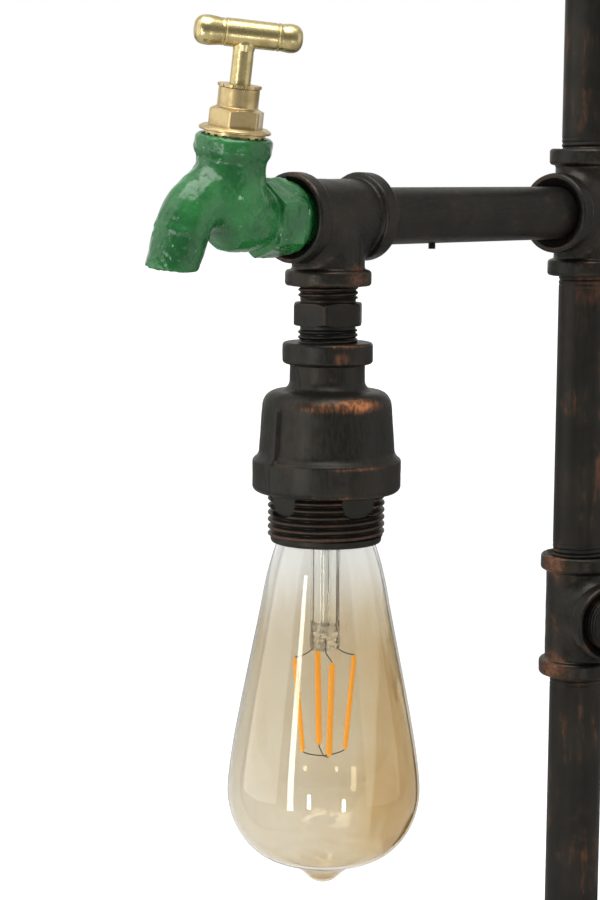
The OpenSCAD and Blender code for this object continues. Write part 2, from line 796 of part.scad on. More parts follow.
module centre_contact() color(brass) at_lamp() translate([0, 0, floor_z]) rotate([90, 0, 0])
    translate([0, 0, -contact_w / 2]) linear_extrude(contact_w) polygon([
        [-contact_l / 2, 0],
        [-contact_l / 2, -contact_t],
        [-contact_l / 6, -contact_t],
        [0, -contact_drop],
        [contact_l / 3, -contact_drop],
        [contact_l / 3, contact_t - contact_drop],
        [contact_l / 12, contact_t - contact_drop],
        [-contact_l / 12, 0]
    ]);

module terminal_screws() color(brass) at_lamp() for (x = [-1, 1])
    translate([x * terminal_pitch / 2, 0, core_top]) {
        rounded_disc(terminal_d, terminal_d / 2, terminal_d / 8);
        translate([0, 0, seat_gap - core_floor / 2]) cylinder(d = terminal_d / 2, h = core_floor / 2);
    }

// Tap

// Spout in the side plane: a bend that starts level and a straight, tapered end
module spout_curve(d, skip = 0)
    in_side_plane() translate([-spout_out, spout_up - spout_bend])
        rotate([0, 0, 90 + skip]) rotate_extrude(angle = spout_turn - skip)
            translate([spout_bend, 0]) circle(d = d);

module spout_straight(d1, d2, low, high)
    in_side_plane() translate([-spout_out, spout_up - spout_bend])
        rotate([0, 0, 90 + spout_turn]) translate([spout_bend, low]) rotate([-90, 0, 0])
            cylinder(d1 = d1, d2 = d2, h = high - low);

module tap_body() color(enamel) at_tap() difference() {
    union() {
        translate([0, 0, globe_up]) rotate([90, 0, 0]) sphere(d = globe_d);
        translate([0, belly_back, belly_up]) rotate([90, 0, 0]) sphere(d = belly_d);
        translate([0, 0, globe_up])
            cylinder(d1 = neck_foot_d, d2 = tap_neck_d, h = tap_top - globe_up - tap_rim_h / 2);
        translate([0, 0, tap_top - tap_rim_h]) rounded_disc(tap_rim_d, tap_rim_h, band_round);
        spout_curve(spout_d);
        spout_straight(spout_d, spout_mouth_d, 0, spout_end);
        rotate([-90, 0, 0]) cylinder(d = waist_d, h = tap_face);
        translate([0, tap_face - inlet_hex_l, 0]) rotate([-90, 0, 0])
            rotate([0, 0, 30]) nut(inlet_hex_af, inlet_hex_l);
        rotate([-90, 0, 0]) cylinder(d = tap_thread_od, h = tap_face + socket_depth);
    }
    translate([0, 0, seat_up]) cylinder(d = chamber_d, h = tap_top);
    cylinder(d = seat_bore, h = tap_top);
    rotate([-90, 0, 0]) translate([0, 0, -inlet_past])
        cylinder(d = inlet_bore, h = tap_face + socket_depth + inlet_past + cut);
    spout_curve(spout_bore, spout_root_turn);
    spout_straight(mouth_bore, mouth_bore, -mouth_lap, spout_end + cut);
    translate([-spout_d, -spout_out - 3 * spout_bend, -mouth_drop - spout_end])
        cube([2 * spout_d, 2.5 * spout_bend, spout_end]);
}

module tap_bonnet() color("#b98a52") at_tap() difference() {
    union() {
        translate([0, 0, tap_top - bonnet_in]) cylinder(d = chamber_fit, h = bonnet_in + lock_ring_h);
        translate([0, 0, flange_low]) rounded_disc(bonnet_flange_d, bonnet_flange_t, bonnet_flange_t / 3);
        translate([0, 0, flange_top]) rotate([0, 0, bonnet_turn]) nut(bonnet_hex_af, bonnet_hex_h);
        translate([0, 0, flange_top]) cylinder(d = barrel_d, h = barrel_top - flange_top);
    }
    cylinder(d = spindle_bore, h = gland_top);
    cylinder(d = foot_bore, h = foot_roof);
    translate([0, 0, barrel_top - packing_h]) cylinder(d = packing_d, h = packing_h + cut);
}

module tap_lock_ring() color("#b98a52") at_tap() translate([0, 0, tap_top]) difference() {
    cylinder(d = lock_ring_d, h = lock_ring_h);
    translate([0, 0, -cut]) cylinder(d = chamber_fit + 2 * fit_gap, h = lock_ring_h + 2 * cut);
    for (i = [0:lock_teeth - 1])
        rotate([0, 0, i * 360 / lock_teeth])
            translate([lock_ring_d / 2, 0, 0]) cube(lock_ring_h, center = true);
}

module tap_gland_disc() color("#b98a52") at_tap() translate([0, 0, barrel_top]) difference() {
    cylinder(d = gland_d, h = gland_t);
    translate([0, 0, -cut]) cylinder(d = spindle_bore, h = gland_t + 2 * cut);
    for (i = [0:gland_notches - 1])
        rotate([0, 0, i * 360 / gland_notches]) translate([gland_d / 2, 0, -cut])
            cylinder(d = gland_t, h = gland_t + 2 * cut);
}

module tap_packing() color("#3a3a38") at_tap()
    tube(packing_d - 2 * fit_gap, spindle_bore, barrel_top - packing_h, barrel_top);

module valve_jumper() color(brass) at_tap() {
    translate([0, 0, jumper_low]) cylinder(d = jumper_d, h = jumper_t);
    translate([0, 0, jumper_top]) cylinder(d = jumper_stem_d, h = jumper_stem);
}

module valve_washer() color("#2a2a2a") at_tap()
    translate([0, 0, washer_low]) cylinder(d = jumper_d, h = washer_t);

module tap_spindle() color(brass) at_tap() difference() {
    union() {
        translate([0, 0, spindle_low]) cylinder(d = spindle_foot_d, h = spindle_step - spindle_low);
        translate([0, 0, spindle_low]) cylinder(d = spindle_d, h = bar_z - spindle_low);
    }
    translate([0, 0, spindle_low - cut])
        cylinder(d = jumper_stem_d + 2 * spindle_gap, h = jumper_stem + seat_gap + cut);
}

// Half outline of the crossbar along its axis, with two grooves and rounded ends
function bar_outline() = let (
    near = -bar_middle / 2 - bar_near,
    far = bar_middle / 2 + bar_far,
    r = bar_d / 2,
    bulge = bar_d / 3
) concat(
    [[0, near]],
    arc([r - bulge, near + bulge], bulge, -90, 0),
    [for (side = [-1, 1], step = [-1, 0, 1])
        [r - (step == 0 ? 2 : 1) * bar_groove, side * bar_middle / 2 + step * bar_groove]],
    arc([r - bulge, far - bulge], bulge, 0, 90),
    [[0, far]]
);

module tap_handle() color(brass) at_tap() translate([0, 0, bar_z]) rotate([0, 0, -handle_turn])
    difference() {
        union() {
            translate([0, bar_shift, 0]) rotate([-90, 0, 0]) rotate_extrude() polygon(bar_outline());
            translate([0, 0, -bar_d / 2 - bar_flare])
                cylinder(d1 = spindle_d + 2 * bar_flare, d2 = bar_d, h = bar_d / 2);
        }
        translate([0, 0, -bar_d]) cylinder(d = spindle_d + 2 * fit_gap, h = bar_d + seat_gap);
    }

// Bulb

// Outer half outline of the glass, from its top edge down to the axis
function glass_outline() = let (
    shoulder = [glass_shoulder_d / 2, shoulder_z],
    belly = [bulb_d / 2, belly_z],
    drop = shoulder_z - belly_z,
    slope = (belly[0] - shoulder[0]) / drop
) concat(
    [[glass_neck_r, glass_top]],
    bezier([[glass_neck_r, cap_rim - glass_t],
            [glass_neck_r + glass_swell, cap_rim - glass_shoulder_drop / 8],
            shoulder + [-slope, 1] * glass_shoulder_drop / 3, shoulder], arc_steps),
    bezier([shoulder, shoulder + [slope, -1] * drop / 4, belly + [0, drop / 5], belly], 2 * arc_steps),
    arc([belly[0] - glass_bottom_r, belly_z], glass_bottom_r, 0, -glass_bottom_turn),
    [for (a = [0:15:90]) [tip_r * cos(a), bottom_z - tip_h * sin(a)]]
);

// The same outline moved inwards by the glass's thickness
function inner_outline(p) = [for (i = [0:len(p) - 1]) let (
    along = p[min(i + 1, len(p) - 1)] - p[max(i - 1, 0)],
    inward = [along[1], -along[0]] / norm(along)
) [max(0, p[i][0] + glass_t * inward[0]), p[i][1] + (i == 0 ? 0 : glass_t * inward[1])]];

module bulb_contact_button() color(brass) at_lamp() translate([0, 0, insulator_top])
    rotate_extrude() {
        square([button_d / 2, button_h / 2]);
        square([button_d / 2 - button_h / 2, button_h]);
        translate([button_d / 2 - button_h / 2, button_h / 2]) circle(button_h / 2);
    }

module bulb_cap() color(brass) at_lamp() rotate_extrude() polygon([
    [cap_d / 2 - cap_wall, cap_rim],
    [cap_d / 2, cap_rim],
    [cap_d / 2, sleeve_top],
    [cap_d / 3, cone_top],
    [cap_d / 3 - cap_wall, cone_top],
    [cap_d / 2 - cap_wall, sleeve_top - cap_wall]
]);

module cap_insulator() color("#15120f") at_lamp() rotate_extrude() polygon([
    [0, cone_top],
    [cap_d / 3, cone_top],
    [button_d / 2 + cap_wall, insulator_top],
    [0, insulator_top]
]);

module driver_board() color("#2f6b45") at_lamp()
    translate([-cap_d / 4, -glass_t, glass_top + seat_gap])
        cube([cap_d / 2, 2 * glass_t, cone_top - glass_top - seat_gap]);

module bulb_glass() color("#d8c39a", 0.4) at_lamp() rotate_extrude() {
    outline = glass_outline();
    inner = inner_outline(outline);
    polygon(concat(outline, [for (i = [len(inner) - 1:-1:0]) inner[i]]));
}

module bulb_stem() color("#d9dcd6", 0.5) at_lamp() {
    flare_r = glass_neck_r - glass_t - fit_gap;
    rotate_extrude() polygon(concat(
        [[0, glass_top], [flare_r, glass_top]],
        bezier([[flare_r, glass_top - glass_t], [stem_d / 2, glass_top - glass_entry / 2],
                [stem_d / 2, cap_rim], [stem_d / 2, cap_rim - glass_entry]], arc_steps),
        [[stem_d / 2, stem_low + pinch_h / 2], [0, stem_low + pinch_h / 2]]
    ));
    rotate([0, 0, filament_turn + 90]) translate([-pinch_w / 2, -pinch_t / 2, stem_low])
        cube([pinch_w, pinch_t, pinch_h]);
}

function filament_point(i, r, z) =
    let (a = filament_turn + i * 360 / filament_count) [r * cos(a), r * sin(a), z];

// Wires from the pinched stem to the top of each filament
module lead_wires() color("#6d655c") at_lamp() for (i = [0:filament_count - 1]) {
    knee = filament_point(i, pinch_t / 3, wire_bend_z);
    rod(knee + [0, 0, pinch_h / 2], knee, wire_d);
    translate(knee) sphere(d = wire_d);
    rod(knee, filament_point(i, filament_top_r, filament_top), wire_d);
}

module filaments() color("#f2a03c") at_lamp() for (i = [0:filament_count - 1])
    rod(filament_point(i, filament_top_r, filament_top),
        filament_point(i, filament_low_r, filament_low), filament_d);

// Wire cross that joins the lower ends of the filaments
module filament_hook() color("#6d655c") at_lamp() {
    for (i = [0:filament_count - 1])
        rod([0, 0, filament_low - wire_d], filament_point(i, filament_low_r, filament_low), wire_d);
    translate([0, 0, filament_low - wire_d]) sphere(d = 2 * wire_d);
}

upper_flange();
lower_flange();
upper_wall_nipple();
lower_wall_nipple();
upper_elbow();
lower_elbow();
upper_column_pipe();
middle_column_pipe();
lower_column_pipe();
outlet_tee();
outlet_pipe();
outlet_cap();
arm_tee();
arm_tube();
arm_set_screw();
head_tee();
arm_spigot();
hex_nipple();
bell_housing();
holder_shell();
holder_core();
screw_shell();
centre_contact();
terminal_screws();
tap_body();
tap_bonnet();
tap_lock_ring();
tap_gland_disc();
tap_packing();
valve_jumper();
valve_washer();
tap_spindle();
tap_handle();
bulb_contact_button();
bulb_cap();
cap_insulator();
driver_board();
bulb_glass();
bulb_stem();
lead_wires();
filaments();
filament_hook();
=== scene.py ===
# Looks of the wall lamp: cast fittings, threads, enamelled tap, brass handle and amber bulb.
# Every surface is in metres in the frame's own axes: the wall is y = 0 and +Z is up.
import json
import math

import bmesh
import bpy
import numpy as np
from mathutils import Matrix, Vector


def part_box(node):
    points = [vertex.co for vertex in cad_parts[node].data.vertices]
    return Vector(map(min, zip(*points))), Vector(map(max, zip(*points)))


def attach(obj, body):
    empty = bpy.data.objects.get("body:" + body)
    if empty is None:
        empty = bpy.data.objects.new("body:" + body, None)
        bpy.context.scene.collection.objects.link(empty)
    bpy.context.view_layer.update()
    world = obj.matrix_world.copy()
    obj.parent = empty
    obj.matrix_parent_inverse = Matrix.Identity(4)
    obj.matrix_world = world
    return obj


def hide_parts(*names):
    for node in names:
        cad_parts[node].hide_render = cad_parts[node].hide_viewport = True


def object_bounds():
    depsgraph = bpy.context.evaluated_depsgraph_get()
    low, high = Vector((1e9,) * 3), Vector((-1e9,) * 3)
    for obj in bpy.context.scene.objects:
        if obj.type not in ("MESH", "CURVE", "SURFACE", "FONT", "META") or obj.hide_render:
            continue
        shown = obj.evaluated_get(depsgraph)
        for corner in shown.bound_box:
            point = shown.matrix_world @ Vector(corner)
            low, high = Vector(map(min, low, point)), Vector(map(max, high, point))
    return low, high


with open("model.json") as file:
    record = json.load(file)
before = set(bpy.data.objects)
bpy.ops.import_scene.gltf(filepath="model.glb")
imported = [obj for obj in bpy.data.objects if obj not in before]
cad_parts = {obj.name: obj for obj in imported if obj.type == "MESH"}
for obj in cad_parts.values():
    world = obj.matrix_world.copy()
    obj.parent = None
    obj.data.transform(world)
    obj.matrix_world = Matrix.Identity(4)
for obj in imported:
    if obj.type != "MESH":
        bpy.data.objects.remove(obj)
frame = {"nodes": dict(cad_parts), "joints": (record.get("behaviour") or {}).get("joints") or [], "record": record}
cad_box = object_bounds()

mm = 0.001
turn = 2 * math.pi


# Places taken from the frame

def low(node):
    return np.array(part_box(node)[0])


def high(node):
    return np.array(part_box(node)[1])


def middle(node):
    return (low(node) + high(node)) / 2


def half(node, axis):
    return (high(node) - low(node))[axis] / 2


joints = {joint["name"]: joint for joint in frame["joints"]}
right, back, up = np.eye(3)
front, down = -back, -up
column_y = middle("middle_column_pipe")[1]
arm_z = middle("arm_tube")[2]
lamp = np.array([0.0, middle("bell_housing")[1], arm_z])
lamp_axis = lamp * (1, 1, 0)
arm_corner = np.array([0.0, column_y, arm_z])
outlet_corner = np.array([0.0, column_y, middle("outlet_tee")[2]])
upper_corner = np.array([0.0, column_y, middle("upper_flange")[2]])
lower_corner = np.array([0.0, column_y, middle("lower_flange")[2]])
pipe_r = half("middle_column_pipe", 0)
arm_r = half("arm_tube", 0)
tap_up = np.array(joints["handle_turn"]["axis"])
tap_foot = np.array(joints["handle_turn"]["pos_m"])
tap_axes = np.stack([np.cross(back, tap_up), back, tap_up])

# Fineness of the meshes, and the lumps and grain of a casting
nearly_straight = 3.13
plain_step = 4 * mm
cast_step = 0.5 * mm
grid_before = 2.7
grid_after = 3
lump_waves = 20
cast_lump_size = 9 * mm
cast_lump = 0.06 * mm
cast_grain_size = 2.2 * mm
cast_grain = 0.02 * mm

# Sizes of the cast fittings
fitting_wall = 2.2 * mm
band_rise = 2.3 * mm
band_width = 6.3 * mm
band_round = 1.3 * mm
branch_band = 5.5 * mm
crotch = 5.5 * mm
band_fillet = 1 * mm
mouth_sink = 3.2 * mm
fit_gap = 0.05 * mm
turning_gap = 0.1 * mm
head_gap = 0.3 * mm
pipe_hole = pipe_r + fit_gap
body_r = pipe_hole + fitting_wall
elbow_bend = body_r + 2 * mm
elbow_step = 0.4 * mm
socket = 12 * mm
pipe_bore = pipe_r - 2.6 * mm
tee_branch = 22.7 * mm
outlet_turn = math.radians(19)
outlet_way = np.array([math.cos(outlet_turn), -math.sin(outlet_turn), 0])
outlet_show = 34 * mm
cap_length = 19 * mm
cap_end = 3.5 * mm
flange_t = 5 * mm
flange_h = 17 * mm
flange_fillet = 3 * mm
bolt_circle_r = 24 * mm
bolt_hole_r = 3 * mm

# Sizes of the threads
crest_power = 1.4
pipe_pitch = 1.8 * mm
pipe_thread = 0.35 * mm
pipe_thread_show = 6.5 * mm
nipple_r = 10.25 * mm
nipple_thread = 0.75 * mm
nipple_hex_half = 4 * mm
nipple_flats = 11.25 * mm
nipple_turn = math.radians(8)
nipple_bore = 6.5 * mm

# Sizes of the head tee's rib, the bell and the lampholder
tee_rib_at = math.radians(11)
tee_rib_r = 1 * mm
tee_rib_h = 0.7 * mm
collar_h = 7.4 * mm
collar_r = 15.5 * mm
neck_r = 12.9 * mm
neck_h = 7.1 * mm
neck_fillet = 2 * mm
neck_sweep = 3.5 * mm
rim_sweep = 1.9 * mm
shoulder_r = 21.85 * mm
shoulder_round = 5.3 * mm
skirt_r = 23.5 * mm
skirt_h = 24 * mm
bell_hollow_r = 18 * mm
bell_rib_at = math.radians(-95)
bell_rib_w = 2.4 * mm
bell_rib_h = 1.3 * mm
bell_nick = 0.35 * mm
bell_grain_size = 2.5 * mm
holder_r = 20.2 * mm
holder_pitch = 2.45 * mm
holder_thread = 1.3 * mm
holder_flats_at = math.radians(-101)
holder_flat_r = 18.1 * mm
holder_flat_half = math.radians(20.5)
holder_flat_h = 7.5 * mm
holder_lip = 2.6 * mm
mouth_r = 17.5 * mm
mouth_h = 11.3 * mm

# Sizes of the tap
tap_globe_r = 12 * mm
tap_globe_up = 7 * mm
tap_belly_r = 11.8 * mm
tap_belly_up = 1.5 * mm
tap_belly_back = 5.5 * mm
tap_neck_r = 11.3 * mm
tap_rim_r = 12.4 * mm
tap_rim_h = 5.2 * mm
tap_top = 26.6 * mm
tap_waist_r = 10 * mm
tap_hex = 11.7 * mm
tap_hex_l = 14.5 * mm
tap_hex_round = 0.6 * mm
tap_collar_l = 3.2 * mm
tap_collar_r = 12.3 * mm
spout_r = 8.9 * mm
spout_mouth_r = 8.5 * mm
spout_bore_r = 6.3 * mm
spout_bend = 16 * mm
spout_turn = math.radians(76)
spout_out = 3.2 * mm
spout_up = 9.2 * mm
spout_end = 16.2 * mm
mouth_drop = 15.6 * mm
chamber_r = 8.8 * mm
chamber_low = 8 * mm
tap_face = low("head_tee")[1] - tap_foot[1]

# Sizes of the bonnet and the handle, as heights up the spindle
bonnet_low = 18.6 * mm
flange_low = 28.3 * mm
flange_top = 29.6 * mm
flange_r = 11.7 * mm
bonnet_hex_top = 35 * mm
bonnet_flats = 8.1 * mm
bonnet_turn = math.radians(3)
barrel_r = 6.65 * mm
barrel_top = 42.4 * mm
spindle_r = 3.4 * mm
spindle_foot_r = 4.7 * mm
spindle_step = 32 * mm
spindle_gap = 0.1 * mm
bar_up = 59.3 * mm
bar_r = 4.5 * mm
bar_middle = 17.1 * mm
bar_near = 9.6 * mm
bar_far = 8.2 * mm
bar_shift = 1.7 * mm
bar_groove = 0.35 * mm
bar_turn = math.radians(-35)

# Sizes of the bulb
glass_t = 0.8 * mm
glass_swell = 4 * mm
glass_shoulder_r = 21.9 * mm
glass_shoulder_drop = 27 * mm
glass_belly_drop = 95.7 * mm
glass_bottom_r = 28.4 * mm
glass_tip_r = 6.6 * mm
glass_bottom_flat = 0.1
glass_tip_h = 5.2 * mm
glass_tip_fillet = 4.5 * mm
stem_r = 5.1 * mm
stem_wall = 0.7 * mm
stem_thin_r = 1.6 * mm
pinch_w = 10.6 * mm
pinch_t = 4.5 * mm
pinch_h = 9 * mm
wire_r = 0.2 * mm
filament_r = 1.05 * mm
filament_flat = 0.8
filament_past = 1.6 * mm
filament_turn = math.radians(-34)
filament_count = 4
filament_top_r = 10.7 * mm
filament_low_r = 7.6 * mm


# Surfaces

def grid_faces(rows, columns):
    """Quads between neighbouring rows; the last column joins the first. They face outwards where rows
    climb."""
    i, j = np.meshgrid(np.arange(rows - 1), np.arange(columns), indexing="ij")
    k = (j + 1) % columns
    corners = [i * columns + j, i * columns + k, (i + 1) * columns + k, (i + 1) * columns + j]
    return np.stack(corners, -1).reshape(-1, 4)


def rounded(corners, steps):
    """Outline through (radius, height, rounding) corners, each swapped for an arc that touches both of
    its sides."""
    corners = np.array(corners, float)
    runs = [corners[:1, :2]]
    for before, here, after in zip(corners[:-2], corners[1:-1], corners[2:]):
        a = before[:2] - here[:2]
        b = after[:2] - here[:2]
        a /= np.linalg.norm(a)
        b /= np.linalg.norm(b)
        opening = math.acos(np.clip(a @ b, -1, 1))
        if here[2] == 0 or opening > nearly_straight:
            runs.append(here[None, :2])
            continue
        centre = here[:2] + (a + b) / np.linalg.norm(a + b) * here[2] / math.sin(opening / 2)
        reach = here[2] / math.tan(opening / 2)
        start = here[:2] + a * reach - centre
        end = here[:2] + b * reach - centre
        sweep = math.pi - opening
        t = np.linspace(0, 1, steps + 1)[:, None]
        runs.append(centre + (np.sin((1 - t) * sweep) * start + np.sin(t * sweep) * end) / math.sin(sweep))
    runs.append(corners[-1:, :2])
    return np.concatenate(runs)


def dense(outline, step, where=None):
    """The same outline with points added so that none is further than step from the next. Where the test
    where(radius, height) doesn't hold, they are plain_step apart."""
    length = np.r_[0, np.cumsum(np.linalg.norm(np.diff(outline, axis=0), axis=1))]

    def points(at):
        return np.stack([np.interp(at, length, outline[:, 0]), np.interp(at, length, outline[:, 1])], -1)

    fine = np.arange(0, length[-1], step)
    if where:
        fine = np.union1d(fine[where(*points(fine).T)], np.arange(0, length[-1], plain_step))
    return points(np.union1d(length, fine))


def bezier(a, b, c, d, steps):
    """Cubic curve from a to d that leaves towards b and arrives from c."""
    t = np.linspace(0, 1, steps)[:, None]
    s = 1 - t
    return s**3 * np.array(a) + 3 * s**2 * t * np.array(b) + 3 * s * t**2 * np.array(c) + t**3 * np.array(d)


def turned(outline, columns, shape=None):
    """Outline turned about +Z: a row for each outline point and a column for each angle.
    shape(angle, radius, height) gives the radius where the piece isn't round."""
    angle = np.arange(columns) * turn / columns
    radius = outline[:, :1] + 0 * angle
    height = outline[:, 1:] + 0 * angle
    if shape:
        radius = shape(angle, radius, height)
    points = np.stack([radius * np.cos(angle), radius * np.sin(angle), height], -1)
    return points.reshape(-1, 3), grid_faces(len(outline), columns)


def lathe(corners, steps, step, columns, shape=None, where=None):
    """Outline through corners, with that many steps in its arcs and its points a step apart, turned."""
    return turned(dense(rounded(corners, steps), step, where), columns, shape)


def unit(ways):
    """The same directions, each with a length of 1."""
    return ways / np.linalg.norm(ways, axis=-1, keepdims=True)


def swept(path, radii, helper, columns=12, thin=1.0):
    """A circle carried along a path and square to it, closed by a point at each end. helper is a direction
    that the path never takes, and thin flattens the circle square to helper."""
    ahead = unit(np.gradient(path, axis=0))
    side = unit(np.cross(ahead, helper))
    other = np.cross(ahead, side)
    ends = np.r_[0, np.arange(len(path)), len(path) - 1]
    size = np.r_[0, np.broadcast_to(radii, len(path)), 0]
    angle = (np.arange(columns) * turn / columns)[:, None]
    ring = side[ends][:, None] * thin * np.cos(angle) + other[ends][:, None] * np.sin(angle)
    points = path[ends][:, None] + ring * size[:, None, None]
    return points.reshape(-1, 3), grid_faces(len(ends), columns)


def groove(angle, height, pitch):
    """Depth of a screw thread from 0 on the crest to 1 at the root: a rounded wave that climbs once a turn,
    raised to a power that widens its crests."""
    phase = height / pitch - angle / turn
    wave = 0.5 - 0.5 * np.cos(turn * phase)
    return wave**crest_power


def fade(value, start, end):
    """Smooth step from 0 at start to 1 at end."""
    t = np.clip((value - start) / (end - start), 0, 1)
    return t * t * (3 - 2 * t)


def nearest_turn(angle):
    """The same angle between minus half a turn and half a turn."""
    return (angle + math.pi) % turn - math.pi


def lumps(points, size, seed):
    """Smooth lumps of about that size, near -1 to 1: the sum of waves in many directions."""
    source = np.random.default_rng(seed)
    ways = source.normal(size=(lump_waves, 3))
    lengths = np.linalg.norm(ways, axis=1, keepdims=True)
    ways *= turn / size * source.uniform(0.6, 1.5, (lump_waves, 1)) / lengths
    starts = source.uniform(0, turn, lump_waves)
    return np.sin(points @ ways.T + starts).sum(-1) / 5


def hexagon(angle, flats):
    """Distance from the axis to the side of a hexagon in each direction, with a corner at angle 0."""
    return flats / np.cos(angle % (turn / 6) - turn / 12)


# Fields: distance to a solid, below zero inside it

def rod(points, start, end, radius, rounding=0.0):
    """Straight rod from start to end with flat ends and rounded rims."""
    way = end - start
    length = np.linalg.norm(way)
    way = way / length
    rel = points - start
    along = rel @ way
    across = np.sqrt(np.maximum((rel * rel).sum(-1) - along**2, 0))
    over = np.abs(along - length / 2) - length / 2 + rounding
    beyond = across - radius + rounding
    outside = np.hypot(np.maximum(over, 0), np.maximum(beyond, 0))
    return np.minimum(np.maximum(over, beyond), 0) + outside - rounding


def bend(points, corner, one, two, radius, reach, tube):
    """Tube that comes in along one way, turns through a quarter circle at the corner and leaves along the
    other."""
    rel = points - corner
    u = rel @ one
    v = rel @ two
    w = rel @ np.cross(one, two)
    arc = np.abs(np.hypot(radius - u, radius - v) - radius)
    legs = np.minimum(np.where(u > radius, np.abs(v), 1), np.where(v > radius, np.abs(u), 1))
    flat = np.where((u < radius) & (v < radius), arc, legs)
    return np.maximum(np.hypot(flat, w) - tube, np.maximum(u, v) - reach)


def fillet(a, b, radius):
    """Union of two solids with a hollow of that radius between them."""
    u = np.maximum(radius - a, 0)
    v = np.maximum(radius - b, 0)
    return np.maximum(radius, np.minimum(a, b)) - np.hypot(u, v)


def melt(a, b, size):
    """Union of two solids that flow into each other over about that size."""
    h = np.maximum(size - np.abs(a - b), 0) / size
    return np.minimum(a, b) - h * h * size / 4


def outward(points, start, way):
    """Unit direction straight away from an axis."""
    rel = points - start
    rel = rel - (rel @ way)[..., None] * way
    return rel / np.maximum(np.linalg.norm(rel, axis=-1, keepdims=True), 1e-9)


def net(field, lowest, highest, step):
    """Surface where a field is zero. Each cell of a grid that the level crosses holds one point, the mean of
    the crossings on its edges, and each crossed edge holds a quad between its four cells. The points then
    slide along the field's slope onto the level. The grid starts off the whole step, so that no crease lies
    on it. Returns points, faces and outward normals."""
    axes = [np.arange(a - grid_before * step, b + grid_after * step, step) for a, b in zip(lowest, highest)]
    value = field(np.stack(np.meshgrid(*axes, indexing="ij"), -1))
    cells = np.array(value.shape) - 1
    spots = []
    quads = []
    for axis, (b, c) in enumerate([(1, 2), (0, 2), (0, 1)]):
        near = np.moveaxis(value, axis, 0)[:-1]
        far = np.moveaxis(value, axis, 0)[1:]
        found = np.argwhere((near < 0) != (far < 0))
        first = near[tuple(found.T)]
        second = far[tuple(found.T)]
        at = np.zeros((len(found), 3))
        at[:, [axis, b, c]] = found
        spot = at.copy()
        spot[:, axis] += first / (first - second)
        ring = np.repeat(at[:, None].astype(int), 4, axis=1)
        ring[:, [1, 2], b] -= 1
        ring[:, [2, 3], c] -= 1
        owner = np.ravel_multi_index(np.moveaxis(ring, -1, 0), cells)
        flip = (first < 0) == (axis == 1)
        owner[flip] = owner[flip][:, ::-1]
        spots.append(np.repeat(spot, 4, axis=0))
        quads.append(owner)
    index = np.unique(np.concatenate(quads), return_inverse=True)[1].ravel()
    count = np.bincount(index)
    place = np.concatenate(spots)
    points = np.stack([np.bincount(index, place[:, k]) / count for k in range(3)], -1)
    points = points * step + np.array([axis[0] for axis in axes])
    for _ in range(2):
        slope = gradient(field, points, step / 4)
        steep = np.maximum((slope**2).sum(-1), 0.25)
        shift = np.clip(field(points) / steep, -step, step)
        points = points - shift[:, None] * slope
    slope = gradient(field, points, step / 4)
    normal = slope / np.maximum(np.linalg.norm(slope, axis=1, keepdims=True), 1e-9)
    return points, index.reshape(-1, 4), normal


def gradient(field, points, reach):
    """Slope of a field, from its change over a short way along each axis."""
    ways = np.eye(3) * reach
    return np.stack([(field(points + way) - field(points - way)) / (2 * reach) for way in ways], -1)


# Pieces

def bends(mesh):
    """Bend of the surface at each point, above zero where it is convex: along each edge, the turn of the
    normal over the edge's length, averaged over the edges that meet there."""
    count = len(mesh.vertices)
    places = np.empty(count * 3, np.float32)
    normals = np.empty(count * 3, np.float32)
    edges = np.empty(len(mesh.edges) * 2, np.int32)
    mesh.vertices.foreach_get("co", places)
    mesh.vertex_normals.foreach_get("vector", normals)
    mesh.edges.foreach_get("vertices", edges)
    places = places.reshape(-1, 3).astype(float)
    normals = normals.reshape(-1, 3).astype(float)
    one, two = edges.reshape(-1, 2).T
    step = places[two] - places[one]
    bent = ((normals[two] - normals[one]) * step).sum(1) / np.maximum((step**2).sum(1), 1e-12)
    total = np.bincount(one, bent, count) + np.bincount(two, bent, count)
    return total / np.maximum(np.bincount(one, minlength=count) + np.bincount(two, minlength=count), 1)


def linked(name, data):
    """A new object in the scene."""
    thing = bpy.data.objects.new(name, data)
    bpy.context.scene.collection.objects.link(thing)
    return thing


def add_piece(name, surface, body, slot, replaces=(), rub=None, crease=50, finish=None):
    """Makes a mesh piece from points and faces, measures where its edges are, and hangs it on a body. It has
    the finish of its slot or another one. rub(points) gives how far a dark finish is rubbed through, from
    0 to 1."""
    points, faces = surface[:2]
    mesh = bpy.data.meshes.new(name)
    mesh.vertices.add(len(points))
    mesh.vertices.foreach_set("co", np.ascontiguousarray(points, np.float32).ravel())
    mesh.loops.add(faces.size)
    mesh.loops.foreach_set("vertex_index", np.ascontiguousarray(faces, np.int32).ravel())
    mesh.polygons.add(len(faces))
    mesh.polygons.foreach_set("loop_start", np.arange(0, faces.size, faces.shape[1], dtype=np.int32))
    mesh.update(calc_edges=True)
    shell = bmesh.new()
    shell.from_mesh(mesh)
    bmesh.ops.remove_doubles(shell, verts=shell.verts, dist=1e-7)
    bmesh.ops.dissolve_degenerate(shell, edges=shell.edges, dist=1e-8)
    shell.to_mesh(mesh)
    shell.free()
    mesh.shade_smooth()
    mesh.set_sharp_from_angle(angle=math.radians(crease))
    mesh.attributes.new("edge", "FLOAT", "POINT").data.foreach_set("value", bends(mesh).astype(np.float32))
    if rub:
        places = np.empty(len(mesh.vertices) * 3, np.float32)
        mesh.vertices.foreach_get("co", places)
        worn = rub(places.reshape(-1, 3).astype(float)).astype(np.float32)
        mesh.attributes.new("rub", "FLOAT", "POINT").data.foreach_set("value", worn)
    mesh.materials.append(finish or finishes[slot])
    piece = linked(name, mesh)
    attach(piece, body)
    if replaces:
        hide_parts(*replaces)


def moved(surface, origin, axes=np.eye(3)):
    """A surface taken from its own axes into the frame's."""
    return (surface[0] @ axes + origin, *surface[1:])


